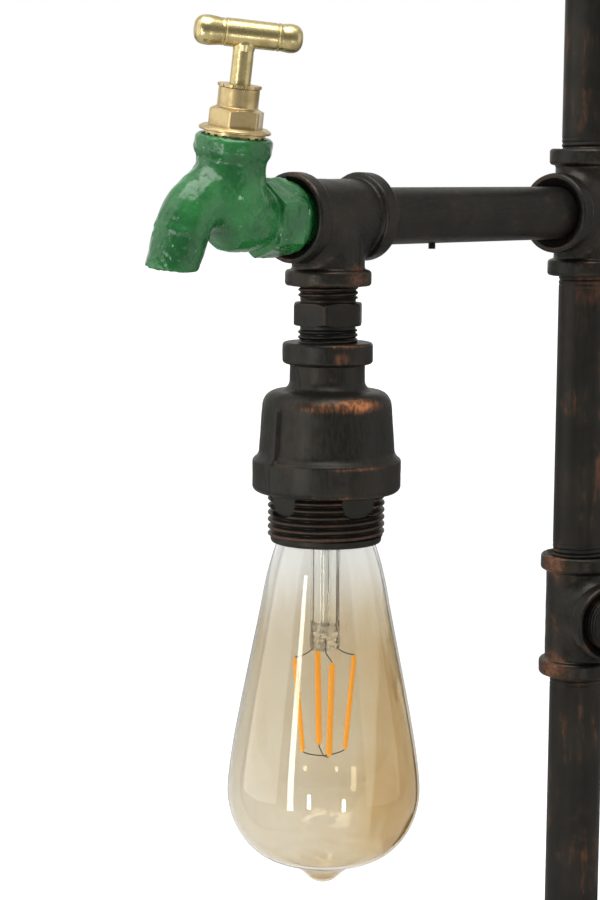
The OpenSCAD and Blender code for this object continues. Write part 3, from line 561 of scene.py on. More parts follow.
def axes_along(way, helper):
    """Axes of a turned piece: its own +Z lies along a way, and its +X is square to the helper."""
    side = np.cross(way, helper)
    return np.stack([side, np.cross(way, side), way])


def around(points):
    """Angle and distance of points about the lamp's upright axis."""
    x = points[:, 0]
    y = points[:, 1] - lamp[1]
    return np.arctan2(y, x), np.hypot(x, y)


def casting(points, grain_size, seed):
    """Large lumps and a small grain, as sand leaves them."""
    return cast_lump * lumps(points, cast_lump_size, seed) + cast_grain * lumps(points, grain_size, seed + 1)


# Finishes

class Nodes:
    """A node tree in the making: each call adds a node and gives back its output."""

    def __init__(self, owner):
        owner.use_nodes = True
        self.tree = owner.node_tree

    def node(self, kind, inputs=None, **settings):
        node = self.tree.nodes.new(kind)
        for key, value in settings.items():
            setattr(node, key, value)
        for key, value in (inputs or {}).items():
            self.feed(node.inputs[key], value)
        return node

    def feed(self, socket, value):
        if isinstance(value, bpy.types.NodeSocket):
            self.tree.links.new(value, socket)
        else:
            socket.default_value = value

    def span(self, value, start, end, out_start=0.0, out_end=1.0):
        inputs = {"Value": value, "From Min": start, "From Max": end, "To Min": out_start, "To Max": out_end}
        return self.node("ShaderNodeMapRange", inputs, interpolation_type="SMOOTHSTEP").outputs[0]

    def math(self, kind, a, b=0.0, c=0.0):
        return self.node("ShaderNodeMath", {0: a, 1: b, 2: c}, operation=kind).outputs[0]

    def mix(self, share, a, b):
        return self.node("ShaderNodeMix", {0: share, 6: a, 7: b}, data_type="RGBA").outputs[2]

    def dot(self, a, b):
        node = self.node("ShaderNodeVectorMath", {0: a, 1: tuple(b)}, operation="DOT_PRODUCT")
        return node.outputs["Value"]


class Finish(Nodes):
    """A material in the making, drawn in the object's own coordinates."""

    def __init__(self, name):
        self.material = bpy.data.materials.new(name)
        super().__init__(self.material)
        self.shader = self.tree.nodes["Principled BSDF"]
        self.place = self.node("ShaderNodeTexCoord").outputs["Object"]

    def stretched(self, scale, spin=(0, 0, 0)):
        inputs = {"Vector": self.place, "Scale": scale, "Rotation": spin}
        return self.node("ShaderNodeMapping", inputs).outputs[0]

    def noise(self, scale, detail=3.0, rough=0.5, at=None, twist=0.0):
        inputs = {"Vector": at or self.place, "Scale": scale, "Detail": detail, "Roughness": rough,
                  "Distortion": twist}
        return self.node("ShaderNodeTexNoise", inputs).outputs[0]

    def attribute(self, name):
        return self.node("ShaderNodeAttribute", attribute_name=name).outputs["Fac"]

    def height(self):
        return self.node("ShaderNodeSeparateXYZ", {0: self.place}).outputs["Z"]

    def bump(self, height, strength, distance, under=None):
        inputs = {"Height": height, "Strength": strength, "Distance": distance}
        if under:
            inputs["Normal"] = under
        return self.node("ShaderNodeBump", inputs).outputs[0]

    def done(self, **sockets):
        for key, value in sockets.items():
            self.feed(self.shader.inputs[key.replace("_", " ")], value)
        return self.material


def colour(red, green, blue):
    """Linear colour from one read off a screen, with each channel from 0 to 255."""
    screen = np.array([red, green, blue]) / 255
    linear = np.where(screen <= 0.04045, screen / 12.92, ((screen + 0.055) / 1.055)**2.4)
    return (*linear.tolist(), 1.0)


black_bronze = colour(31, 30, 27)
brown_bronze = colour(42, 38, 33)
grey_bronze = colour(54, 53, 48)
dull_copper = colour(96, 64, 46)
worn_copper = colour(144, 94, 63)
bright_copper = colour(172, 110, 70)
# Way from the bulb's axis to the side of its glass that carries a painted brown reflection
dark_reflection_side = np.array([0.73, 0.68, 0.0])


def bronze(name, stretch, spin=(0, 0, 0), streaks=0.3, grain=0.5, edges=0.6, strokes_scale=260,
           ragged=1.4, shine=0.0, grey=0.35, reach=0.0, worn=bright_copper):
    """Black bronze, a little brown in clouds. It is rubbed through to copper where the rub attribute says,
    with a streaky fringe, and to dull copper on parts of its edges and in faint strokes along the piece."""
    f = Finish(name)
    along = f.stretched(stretch, spin)
    strokes = f.noise(strokes_scale, detail=5, rough=0.65, at=along, twist=0.4)
    islands = f.noise(scale=55, detail=3, rough=0.55)
    fine = f.noise(scale=900, detail=3, rough=0.6, at=along)
    edge = f.math("MULTIPLY", f.span(f.attribute("edge"), 200, 620), f.span(islands, 0.48, 0.66))
    edge = f.math("MULTIPLY", edge, f.span(strokes, 0.4, 0.65, 0.05, edges))
    brushed = f.span(islands, 0.5 - reach, 0.7 - reach)
    scuff = f.math("MULTIPLY", brushed, f.span(strokes, 0.54 - reach, 0.74 - reach, 0.0, streaks))
    dull = f.math("MAXIMUM", edge, scuff)
    rub = f.attribute("rub")
    fringe = f.math("MULTIPLY_ADD", strokes, ragged, f.math("SUBTRACT", rub, ragged / 2))
    bare = f.math("MULTIPLY", f.span(fringe, 0.1, 1.2), f.span(rub, 0.05, 0.4))
    bare = f.math("MAXIMUM", bare, f.span(f.math("MULTIPLY_ADD", strokes, 0.3, rub), 0.6, 1.05))
    ground = f.mix(f.span(islands, 0.35, 0.7), black_bronze, brown_bronze)
    ground = f.mix(f.span(fine, 0.3, 0.75, 0.0, grey), ground, grey_bronze)
    base = f.mix(dull, ground, dull_copper)
    bright = f.span(f.math("MULTIPLY_ADD", rub, 0.12, fine), 0.4, 0.72)
    base = f.mix(bare, base, f.mix(bright, dull_copper, worn))
    rough = f.span(f.math("MULTIPLY_ADD", bare, -0.2, fine), 0.2, 0.8, 0.34 - shine, 0.5 - shine)
    dents = f.bump(f.noise(scale=420, detail=4, rough=0.6), strength=0.22 * grain, distance=0.4 * mm)
    normal = f.bump(fine, strength=0.12 * grain, distance=0.1 * mm, under=dents)
    return f.done(Base_Color=base, Metallic=0.6, Roughness=rough, Normal=normal, Specular_IOR_Level=0.4,
                  Specular_Tint=(0.6, 0.6, 0.57, 1))


def enamel_green():
    """Thick paint over a casting: uneven green, pale flecks that are partly rubbed paint and partly
    painted glints, shallow runs and pits."""
    f = Finish("green_enamel")
    cloud = f.noise(scale=70, detail=4, rough=0.55)
    pits = f.noise(scale=480, detail=4, rough=0.6)
    rough_area = f.span(f.noise(scale=45, detail=2, rough=0.5), 0.42, 0.6)
    # Pale flecks in the rough areas: partly rubbed paint, partly painted glints on the paint's lumps.
    flecks = f.math("MULTIPLY", f.span(f.noise(scale=520, detail=2, rough=0.5), 0.68, 0.74), rough_area)
    paint = f.mix(f.span(cloud, 0.3, 0.7), colour(20, 74, 35), colour(38, 106, 52))
    paint = f.mix(f.math("MULTIPLY", flecks, 0.6), paint, colour(140, 186, 150))
    pitting = f.bump(f.math("MULTIPLY", pits, rough_area), strength=0.3, distance=0.6 * mm)
    runs = f.noise(scale=210, detail=3, rough=0.55)
    normal = f.bump(runs, strength=0.24, distance=1 * mm, under=pitting)
    gloss = f.span(pits, 0.3, 0.7, 0.16, 0.3)
    return f.done(Base_Color=paint, Roughness=gloss, Normal=normal, Specular_IOR_Level=0.4)


def brass(name, bright, dull, rough, ring_scale):
    """Brass with dull clouds and fine turning marks square to the spindle."""
    f = Finish(name)
    cloud = f.noise(scale=140, detail=4, rough=0.6)
    marks = f.noise(scale=900, detail=2, rough=0.5, at=f.stretched(ring_scale))
    base = f.mix(f.span(cloud, 0.4, 0.75, 0.0, 0.8), bright, dull)
    gloss = f.span(f.math("MULTIPLY_ADD", marks, 0.5, cloud), 0.5, 1.0, rough - 0.06, rough + 0.1)
    normal = f.bump(marks, strength=0.04, distance=0.12 * mm)
    return f.done(Base_Color=base, Metallic=1.0, Roughness=gloss, Normal=normal)


def amber_glass():
    """Glass that is clear at the neck and amber below. The amber coat runs in uneven upright streaks. It is
    pale, with a painted brown reflection in patches down one side, and deeper where it is seen edge on."""
    f = Finish("amber_glass")
    height = f.height()
    streak = f.noise(scale=60, detail=4, rough=0.6, at=f.stretched((1, 1, 0.1)), twist=0.5)
    rise = f.math("MULTIPLY_ADD", streak, 36 * mm, height)
    amber = f.span(rise, glass_shoulder_z + 33 * mm, glass_shoulder_z + 2 * mm)
    patch = f.noise(scale=24, detail=3, rough=0.55, at=f.stretched((1, 1, 0.3)), twist=0.8)
    # Painted reflection: brown patches on one side of the glass, darker in streaks at their edge, stand in for a
    # dark room seen in it.
    sideways = f.math("SUBTRACT", f.dot(f.place, dark_reflection_side), float(lamp @ dark_reflection_side))
    side = f.math("MULTIPLY_ADD", sideways, 14.0, f.math("MULTIPLY", patch, 1.6))
    brown = f.span(side, 0.45, 1.25)
    deep = f.math("MULTIPLY", f.span(side, 1.08, 1.16), f.span(streak, 0.25, 0.45))
    edge_on = f.node("ShaderNodeLayerWeight", {"Blend": 0.25}).outputs["Facing"]
    tint = f.mix(brown, colour(226, 220, 206), colour(216, 200, 168))
    tint = f.mix(f.math("MULTIPLY", deep, 0.7), tint, colour(196, 172, 128))
    tint = f.mix(f.span(edge_on, 0.45, 1.0), tint, colour(184, 168, 136))
    tip = f.span(height, glass_low + 9 * mm, glass_low + 3 * mm, 0.0, 0.8)
    tint = f.mix(tip, tint, colour(200, 182, 146))
    clear = f.mix(f.span(edge_on, 0.5, 1.0), colour(243, 243, 240), colour(200, 200, 194))
    waves = f.noise(scale=30, detail=2, rough=0.5, at=f.stretched((1, 1, 0.35)))
    ripple = f.bump(waves, strength=0.15, distance=1 * mm)
    return f.done(Base_Color=f.mix(amber, clear, tint), Transmission_Weight=1.0, Roughness=0.0, IOR=1.45,
                  Normal=ripple)


def clear_glass():
    """Stem glass with faint grey edges, and seeds and folds where it is pinched."""
    f = Finish("clear_glass")
    edge_on = f.node("ShaderNodeLayerWeight", {"Blend": 0.3}).outputs["Facing"]
    base = f.mix(f.span(edge_on, 0.3, 1.0), colour(250, 250, 248), colour(168, 160, 142))
    folds = f.noise(scale=420, detail=3, rough=0.6, twist=1.0)
    pinched = f.span(f.height(), pinch_low + pinch_h + 2 * mm, pinch_low + pinch_h - 1 * mm)
    normal = f.bump(f.math("MULTIPLY", folds, pinched), strength=0.9, distance=1.2 * mm)
    return f.done(Base_Color=base, Transmission_Weight=1.0, Roughness=0.02, IOR=1.48, Normal=normal)


def plain(name, light, shade, scale, rough, metal=0.0, bumps=0.1, glow=0.0):
    """Finish of a small part: two close colours in clouds, with a fine grain, and a painted glow of the lighter
    colour as strong as glow.
    """
    f = Finish(name)
    cloud = f.noise(scale, detail=4, rough=0.55)
    gloss = f.span(cloud, 0.3, 0.7, rough - 0.05, rough + 0.08)
    normal = f.bump(f.noise(scale * 4, detail=3, rough=0.5), bumps, distance=0.2 * mm)
    base = f.mix(cloud, light, shade)
    return f.done(Base_Color=base, Metallic=metal, Roughness=gloss, Normal=normal, Emission_Color=light,
                  Emission_Strength=glow)


# Heights and radii of the bell, lampholder and bulb, taken from the frame
bell_top = high("bell_housing")[2]
bell_low = low("bell_housing")[2]
holder_low = low("holder_shell")[2]
holder_top = high("holder_shell")[2]
cap_rim = low("bulb_cap")[2]
glass_top = high("bulb_glass")[2]
glass_low = low("bulb_glass")[2]
glass_neck_r = half("bulb_stem", 0) + glass_t
glass_shoulder_z = cap_rim - glass_shoulder_drop
glass_belly_r = half("bulb_glass", 0)
pinch_low = low("bulb_stem")[2]
filament_top = high("filaments")[2]
filament_low = low("filaments")[2]

# Finish of each of the record's material slots, and two more
finishes = {
    "cast_finish": bronze("cast_bronze", (1, 1, 1), streaks=0.35, grain=0.9, edges=0.9, ragged=1.0,
                          shine=0.06, worn=worn_copper),
    "pipe_finish": bronze("pipe_bronze", (1, 1, 0.16), streaks=0.85, grain=0.25, grey=0.12, reach=0.05),
    "holder_finish": bronze("thread_bronze", (1, 1, 3), streaks=0.2, grain=0.4, ragged=0.5,
                            worn=worn_copper),
    "green_enamel": enamel_green(),
    "polished_brass": brass("handle_brass", colour(192, 176, 128), colour(140, 122, 80), 0.28, (1, 1, 6)),
    "bonnet_brass": brass("bonnet_brass", colour(184, 164, 120), colour(148, 128, 88), 0.34, (1, 1, 8)),
    "amber_glass": amber_glass(),
    "clear_glass": clear_glass(),
    # The filaments have a painted glow: they shine though no lamp is lit inside the bulb.
    "filament": plain("filament_coat_painted_glow", colour(255, 186, 70), colour(255, 164, 44), 900, 0.55, glow=0.55),
    "wire": plain("wire_steel", colour(96, 88, 76), colour(64, 58, 50), 500, 0.4, metal=0.6),
    "screw_steel": plain("screw_steel", colour(44, 40, 37), colour(24, 22, 21), 600, 0.45, metal=1.0),
    "contact_brass": plain("contact_brass", colour(200, 168, 96), colour(158, 128, 70), 300, 0.35,
                           metal=1.0),
    "porcelain": plain("porcelain", colour(236, 232, 222), colour(216, 211, 198), 90, 0.25),
    "cap_black": plain("cap_black", colour(26, 24, 22), colour(14, 13, 12), 200, 0.4),
    "board": plain("board", colour(46, 104, 66), colour(34, 84, 52), 400, 0.5),
    "rubber": plain("rubber", colour(42, 42, 42), colour(26, 26, 26), 500, 0.7),
}
arm_finish = bronze("arm_bronze", (1, 0.3, 1), (0.6, 0, 0), streaks=0.5, grain=0.25, reach=0.03)
bell_finish = bronze("bell_bronze", (1, 1, 0.3), streaks=0.1, grain=0.35, strokes_scale=600, ragged=0.9)


# Column, arm and their fittings

def pipe(name, start, end):
    """Pipe from start to end, with the last turns of its threads showing past the fittings."""
    length = np.linalg.norm(end - start)
    way = (end - start) / length
    corners = [(pipe_bore, 0, 0), (pipe_r, 0, 0.4 * mm), (pipe_r, length, 0.4 * mm), (pipe_bore, length, 0),
               (pipe_bore, 0, 0)]

    def run_out(z):
        return np.minimum(z - socket, length - socket - z)

    def threaded(r, z):
        return (r > pipe_r - 0.1 * mm) & (run_out(z) > -4 * mm) & (run_out(z) < pipe_thread_show)

    def threads(angle, r, z):
        depth = fade(run_out(z), pipe_thread_show, 0) * pipe_thread
        return np.where(r > pipe_r - 0.1 * mm, r - depth * groove(angle, z, pipe_pitch), r)

    surface = lathe(corners, 3, pipe_pitch / 8, 72, threads, threaded)
    axes = axes_along(way, right if abs(way[0]) < 0.5 else up)
    add_piece("shown_" + name, moved(surface, start, axes), "wall_frame", "pipe_finish", [name])


def cast_piece(name, body, field, seed, rub=None):
    """Piece from a field, pushed in and out along its normals by the lumps and grain of a sand casting."""
    points, faces, normal = net(field, low(name), high(name), cast_step)
    points = points + normal * casting(points, cast_grain_size, seed)[:, None]
    add_piece("cast_" + name, (points, faces), body, "cast_finish", [name], rub)


def mouth(way, reach, bore, outer=body_r, width=band_width):
    """Mouth of a fitting: its direction, its reach from the corner, its bore, its outer radius and its
    band's width."""
    return way, reach, bore, outer, width


def ringed(points, solid, corner, mouths):
    """A solid with a rounded band round each of its mouths."""
    for way, reach, _, outer, width in mouths:
        start = corner + way * (reach - width)
        band = rod(points, start, corner + way * reach, outer + band_rise, band_round)
        solid = fillet(solid, band, band_fillet)
    return solid


def bored(points, solid, corner, mouths):
    """A solid with each of its mouths bored from the corner and bevelled."""
    for way, reach, bore, _, _ in mouths:
        rel = points - corner
        along = rel @ way
        radial = np.sqrt(np.maximum((rel * rel).sum(-1) - along**2, 0))
        bevel = (radial - bore - along + reach - mouth_sink) / math.sqrt(2)
        solid = np.maximum(solid, -np.minimum(np.maximum(radial - bore, -along), bevel))
    return solid


def tee(name, body, corner, mouths, seed, rib=None, rub=None):
    """Cast tee: its first two mouths share one straight way and the third is its branch. Fillets grow in the
    crotches and die out at the sides, where the two limbs' faces run together."""
    run_way, run_reach, _, run_r, _ = mouths[0]
    branch_way, branch_reach, _, branch_r, _ = mouths[2]

    def field(points):
        straight = rod(points, corner - run_way * run_reach, corner + run_way * run_reach, run_r)
        side = rod(points, corner, corner + branch_way * branch_reach, branch_r)
        facing = (outward(points, corner, run_way) * outward(points, corner, branch_way)).sum(-1)
        solid = fillet(straight, side, crotch * (1.02 - np.clip(facing, 0, 1)**2))
        if rib:
            solid = melt(solid, rod(points, *rib), 0.6 * mm)
        return bored(points, ringed(points, solid, corner, mouths), corner, mouths)

    cast_piece(name, body, field, seed, rub)


def elbow(name, corner, one, two):
    """Cast elbow: a tube bent round its corner, stepped up to a banded mouth at each end."""
    reach = elbow_bend + socket
    mouths = [mouth(way, reach, pipe_hole) for way in (one, two)]

    def field(points):
        solid = bend(points, corner, one, two, elbow_bend, reach, body_r - elbow_step)
        for way in (one, two):
            limb = rod(points, corner + way * (elbow_bend - mm), corner + way * reach, body_r)
            solid = fillet(solid, limb, band_fillet)
        hollow = bend(points, corner, one, two, elbow_bend, 1, pipe_hole)
        return np.maximum(ringed(points, solid, corner, mouths), -hollow)

    cast_piece(name, "wall_frame", field, 11)


def wall_flange(name, centre):
    """Round flange with a hub: two rounded discs, a hollow between them, a bore and four bolt holes."""
    wide = half(name, 0)
    angle = np.radians([45, 135, 225, 315])
    holes = centre + bolt_circle_r * (np.cos(angle)[:, None] * right + np.sin(angle)[:, None] * up)
    through = back * 0.1

    def field(points):
        plate = rod(points, centre, centre + front * flange_t, wide, band_round)
        hub = rod(points, centre, centre + front * flange_h, body_r + band_rise, band_round)
        solid = np.maximum(fillet(plate, hub, flange_fillet), points[..., 1])
        for place in holes:
            solid = np.maximum(solid, -rod(points, place + through, place - through, bolt_hole_r))
        return np.maximum(solid, -rod(points, centre + through, centre - through, pipe_hole))

    cast_piece(name, "wall_frame", field, 13)


def outlet_cap():
    """Cap on the side pipe, turned from its outline: a band at its mouth and a round closed end."""
    inside = cap_length - cap_end
    band_r = body_r + band_rise
    corners = [(0, inside, 0), (pipe_hole, inside, 0), (pipe_hole, 0, 0), (band_r, 0, band_round),
               (band_r, band_width, band_round), (body_r, band_width, 0.8 * mm),
               (body_r, cap_length, cap_end), (0, cap_length, 0)]
    place = outlet_corner + outlet_way * (tee_branch + outlet_show)
    surface = moved(lathe(corners, 8, 0.8 * mm, 96), place, axes_along(outlet_way, up))
    add_piece("turned_outlet_cap", surface, "wall_frame", "cast_finish", ["outlet_cap"])


def blotch(points, centre, size):
    """Worn spot that fades with the distance from its centre."""
    return np.exp(-((points - centre)**2).sum(-1) / size**2)


column = np.array([0, column_y, 0])
for name in ("upper_column_pipe", "middle_column_pipe", "lower_column_pipe"):
    pipe(name, column + up * low(name)[2], column + up * high(name)[2])
pipe("outlet_pipe", outlet_corner + outlet_way * (tee_branch - socket),
     outlet_corner + outlet_way * (tee_branch + outlet_show + socket))

arm_run = half("arm_tee", 2)
outlet_run = half("outlet_tee", 2)
head_run = half("head_tee", 1)
head_branch = arm_z - low("head_tee")[2]
turning_bore = pipe_r + turning_gap
branch_r = nipple_r + fit_gap + fitting_wall
rib_way = np.array([math.cos(tee_rib_at), math.sin(tee_rib_at), 0])
rib_foot = lamp + rib_way * (branch_r + tee_rib_h - tee_rib_r)
worn_side = np.array([math.cos(math.radians(-100)), math.sin(math.radians(-100)), 0])


def outlet_rub(points):
    """Copper blotches on the bands and on the side of the body away from the branch."""
    spots = [(-outlet_run + 3 * mm, 0.75), (outlet_run - 3 * mm, 0.7), (-2 * mm, 0.35)]
    return sum(share * blotch(points, outlet_corner + worn_side * body_r + up * rise, 8 * mm)
               for rise, share in spots)


def head_rub(points):
    """Copper on the right of the branch's band."""
    spot = lamp + down * (head_branch - 2.5 * mm) + right * (branch_r + band_rise) * 0.9
    return 0.5 * blotch(points, spot, 7 * mm)


tee("arm_tee", "arm", arm_corner, [
    mouth(up, arm_run, turning_bore), mouth(down, arm_run, turning_bore),
    mouth(front, tee_branch, arm_r + fit_gap)], 7)
tee("outlet_tee", "wall_frame", outlet_corner, [
    mouth(up, outlet_run, pipe_hole), mouth(down, outlet_run, pipe_hole),
    mouth(outlet_way, tee_branch, pipe_hole)], 17, rub=outlet_rub)
tee("head_tee", "head", lamp, [
    mouth(back, head_run, arm_r + head_gap), mouth(front, head_run, nipple_r + 0.25 * mm),
    mouth(down, head_branch, nipple_r + fit_gap, branch_r, branch_band)], 27,
    (rib_foot + down * 6 * mm, rib_foot + down * (head_branch - 3 * mm), tee_rib_r), head_rub)
elbow("upper_elbow", upper_corner, back, down)
elbow("lower_elbow", lower_corner, back, up)
wall_flange("upper_flange", upper_corner * (1, 0, 1))
wall_flange("lower_flange", lower_corner * (1, 0, 1))
outlet_cap()


# Hex nipple, bell and lampholder

def hex_nipple():
    """Double nipple: two threaded ends and, between them, a hexagon whose corners are turned off."""
    bottom = low("hex_nipple")[2]
    top = high("hex_nipple")[2]
    centre = (bell_top + low("head_tee")[2]) / 2
    hex_half = nipple_hex_half
    corners = [(nipple_bore, bottom, 0), (nipple_r, bottom, 0.6 * mm), (nipple_r, top, 0.6 * mm),
               (nipple_bore, top, 0), (nipple_bore, bottom, 0)]

    def outside(r, z):
        return r > nipple_bore + mm

    def shape(angle, r, z):
        off = np.abs(z - centre)
        corner = hexagon(angle - nipple_turn, nipple_flats)
        shoulder = nipple_flats + 1.4 * mm - 1.5 * np.maximum(off - hex_half + 0.9 * mm, 0)
        block = np.minimum(corner, shoulder)
        relief = fade(off, hex_half + 1.0 * mm, hex_half + 1.5 * mm)
        screw = r - nipple_thread * np.maximum(groove(angle, z, pipe_pitch), 1 - relief)
        return np.where(outside(r, z), np.where(off < hex_half, block, screw), r)

    def rub(points):
        off = np.abs(nearest_turn(6 * (around(points)[0] - nipple_turn))) / 6
        rise = points[:, 2] - centre
        ridges = 0.45 * fade(off, math.radians(2.5), 0) * fade(np.abs(rise), hex_half, hex_half - mm)
        return ridges + 0.25 * fade(np.abs(rise - hex_half), 0.7 * mm, 0)

    surface = moved(lathe(corners, 3, 0.25 * mm, 180, shape, outside), lamp_axis)
    add_piece("threaded_hex_nipple", surface, "head", "cast_finish", ["hex_nipple"], rub, 35,
              finishes["holder_finish"])


def bell():
    """Bell turned from its outline: collar, neck, round shoulder, slightly wider skirt and rim, with a
    casting rib down one side, a parting line on the neck and a nick in the rim under the rib."""
    top = bell_top
    neck_z = top - collar_h - neck_h - neck_fillet
    rim_z = neck_z - skirt_h
    rim_r = half("bell_housing", 0)
    hollow_z = neck_z - 5.5 * mm
    seat_z = holder_top + 0.3 * mm
    seat_r = holder_r + 0.1 * mm
    corners = [
        (seat_r, bell_low, 0), (rim_r, bell_low, 2.2 * mm), (rim_r, rim_z + 0.2 * mm, 1.5 * mm),
        (skirt_r, rim_z + rim_sweep, 3.5 * mm), (shoulder_r, neck_z, shoulder_round),
        (neck_r, neck_z, neck_sweep), (neck_r, top - collar_h, 0.8 * mm),
        (collar_r, top - collar_h, 1.3 * mm), (collar_r, top, 1.1 * mm), (nipple_r, top, 0),
        (nipple_r, hollow_z, 0), (bell_hollow_r, hollow_z, 0), (bell_hollow_r, seat_z, 0),
        (seat_r, seat_z, 0), (seat_r, bell_low, 0)]
    # Worn patches: strength, bearing in degrees, height, and the spreads of both
    rubbed = [
        (1.0, -18, neck_z - 3.6 * mm, 24, 2.4 * mm), (0.5, -58, neck_z - 4.2 * mm, 20, 2.0 * mm),
        (0.5, -30, top - collar_h + 2.8 * mm, 15, 3.0 * mm), (0.5, -18, top - 0.6 * mm, 34, 0.7 * mm),
        (0.55, -22, rim_z - 0.5 * mm, 34, 0.7 * mm), (0.45, -33, bell_low + 0.9 * mm, 8, 0.8 * mm),
        (0.4, -57, bell_low + 0.9 * mm, 4, 0.8 * mm), (0.35, -40, top - collar_h - 4.5 * mm, 8, 1.2 * mm)]

    def outer(r, z):
        return r > neck_r - 0.5 * mm

    def shape(angle, r, z):
        outside = outer(r, z) & (z > bell_low + 0.2 * mm)
        off = nearest_turn(angle - bell_rib_at) * r
        rib = fade(np.abs(off), bell_rib_w / 2 + 0.2 * mm, bell_rib_w / 2 - 0.2 * mm)
        rib *= fade(z, rim_z - 0.5 * mm, rim_z + 0.8 * mm) * fade(z, neck_z - 5.0 * mm, neck_z - 6.0 * mm)
        nick = fade(np.abs(off + 1.2 * mm), 0.45 * mm, 0) * fade(z, rim_z - mm, rim_z - 2.5 * mm)
        on_neck = fade(z, neck_z - 1.5 * mm, neck_z) * fade(z, top - collar_h + mm, top - collar_h)
        line = fade(np.abs(off - 1.2 * mm + 0.35 * (z - neck_z)), 0.6 * mm, 0) * on_neck
        points = np.stack([r * np.cos(angle), r * np.sin(angle), z], -1)
        cast = casting(points, bell_grain_size, 3)
        return np.where(outside, r + bell_rib_h * rib - bell_nick * (nick + line) + cast, r)

    def rub(points):
        """Sum of the worn patches."""
        angle = around(points)[0]
        return sum(share * np.exp(-(nearest_turn(angle - math.radians(at)) / math.radians(wide))**2
                                  - ((points[:, 2] - z) / tall)**2) for share, at, z, wide, tall in rubbed)

    surface = moved(lathe(corners, 10, 0.8 * mm, 360, shape, outer), lamp_axis)
    add_piece("cast_bell", surface, "head", "cast_finish", ["bell_housing"], rub, finish=bell_finish)


def holder_shell():
    """Skirt of the lampholder: a coarse thread round the outside, a plain lip below, and four smooth flats
    under the bell."""
    ledge_z = holder_low + mouth_h + 2 * mm
    core_r = half("holder_core", 0) + fit_gap
    ledge_r = core_r - 1.2 * mm
    lip_r = holder_r - holder_thread + 0.3 * mm
    corners = [
        (mouth_r, holder_low, 0.4 * mm), (lip_r - 0.3 * mm, holder_low, 0.5 * mm),
        (lip_r, holder_low + mm, 0.5 * mm), (lip_r, holder_low + holder_lip - 0.4 * mm, 0),
        (holder_r, holder_low + holder_lip, 0), (holder_r, holder_top, 0.5 * mm), (core_r, holder_top, 0),
        (core_r, ledge_z, 0), (ledge_r, ledge_z, 0), (ledge_r, ledge_z - 2 * mm, 0),
        (mouth_r, ledge_z - 2 * mm, 0), (mouth_r, holder_low + mm, 0), (mouth_r, holder_low, 0)]

    def outside(r, z):
        return r > holder_r - 0.05 * mm

    def shape(angle, r, z):
        clear = fade(z, bell_low + mm, bell_low - 0.4 * mm)
        screw = r - holder_thread * groove(angle, z, holder_pitch) * clear
        off = nearest_turn(4 * (angle - holder_flats_at)) / 4
        flat = holder_flat_r / np.cos(off)
        share = np.clip(1 - np.abs(off / holder_flat_half)**3, 0, 1)
        cut = (z > bell_low - holder_flat_h * np.cbrt(share)) & (z < bell_low + 0.5 * mm) & (share > 0)
        return np.where(outside(r, z), np.where(cut, flat, screw), r)

    def rub(points):
        lower = 0.12 * fade(points[:, 2], holder_low + 7 * mm, holder_low + 2.5 * mm)
        return lower + 0.36 * fade(around(points)[1], holder_r - holder_thread / 2, holder_r)

    surface = moved(lathe(corners, 8, holder_pitch / 12, 288, shape, outside), lamp_axis)
    add_piece("threaded_holder", surface, "head", "holder_finish", ["holder_shell"], rub, 45)


hex_nipple()
bell()
holder_shell()


# Tap

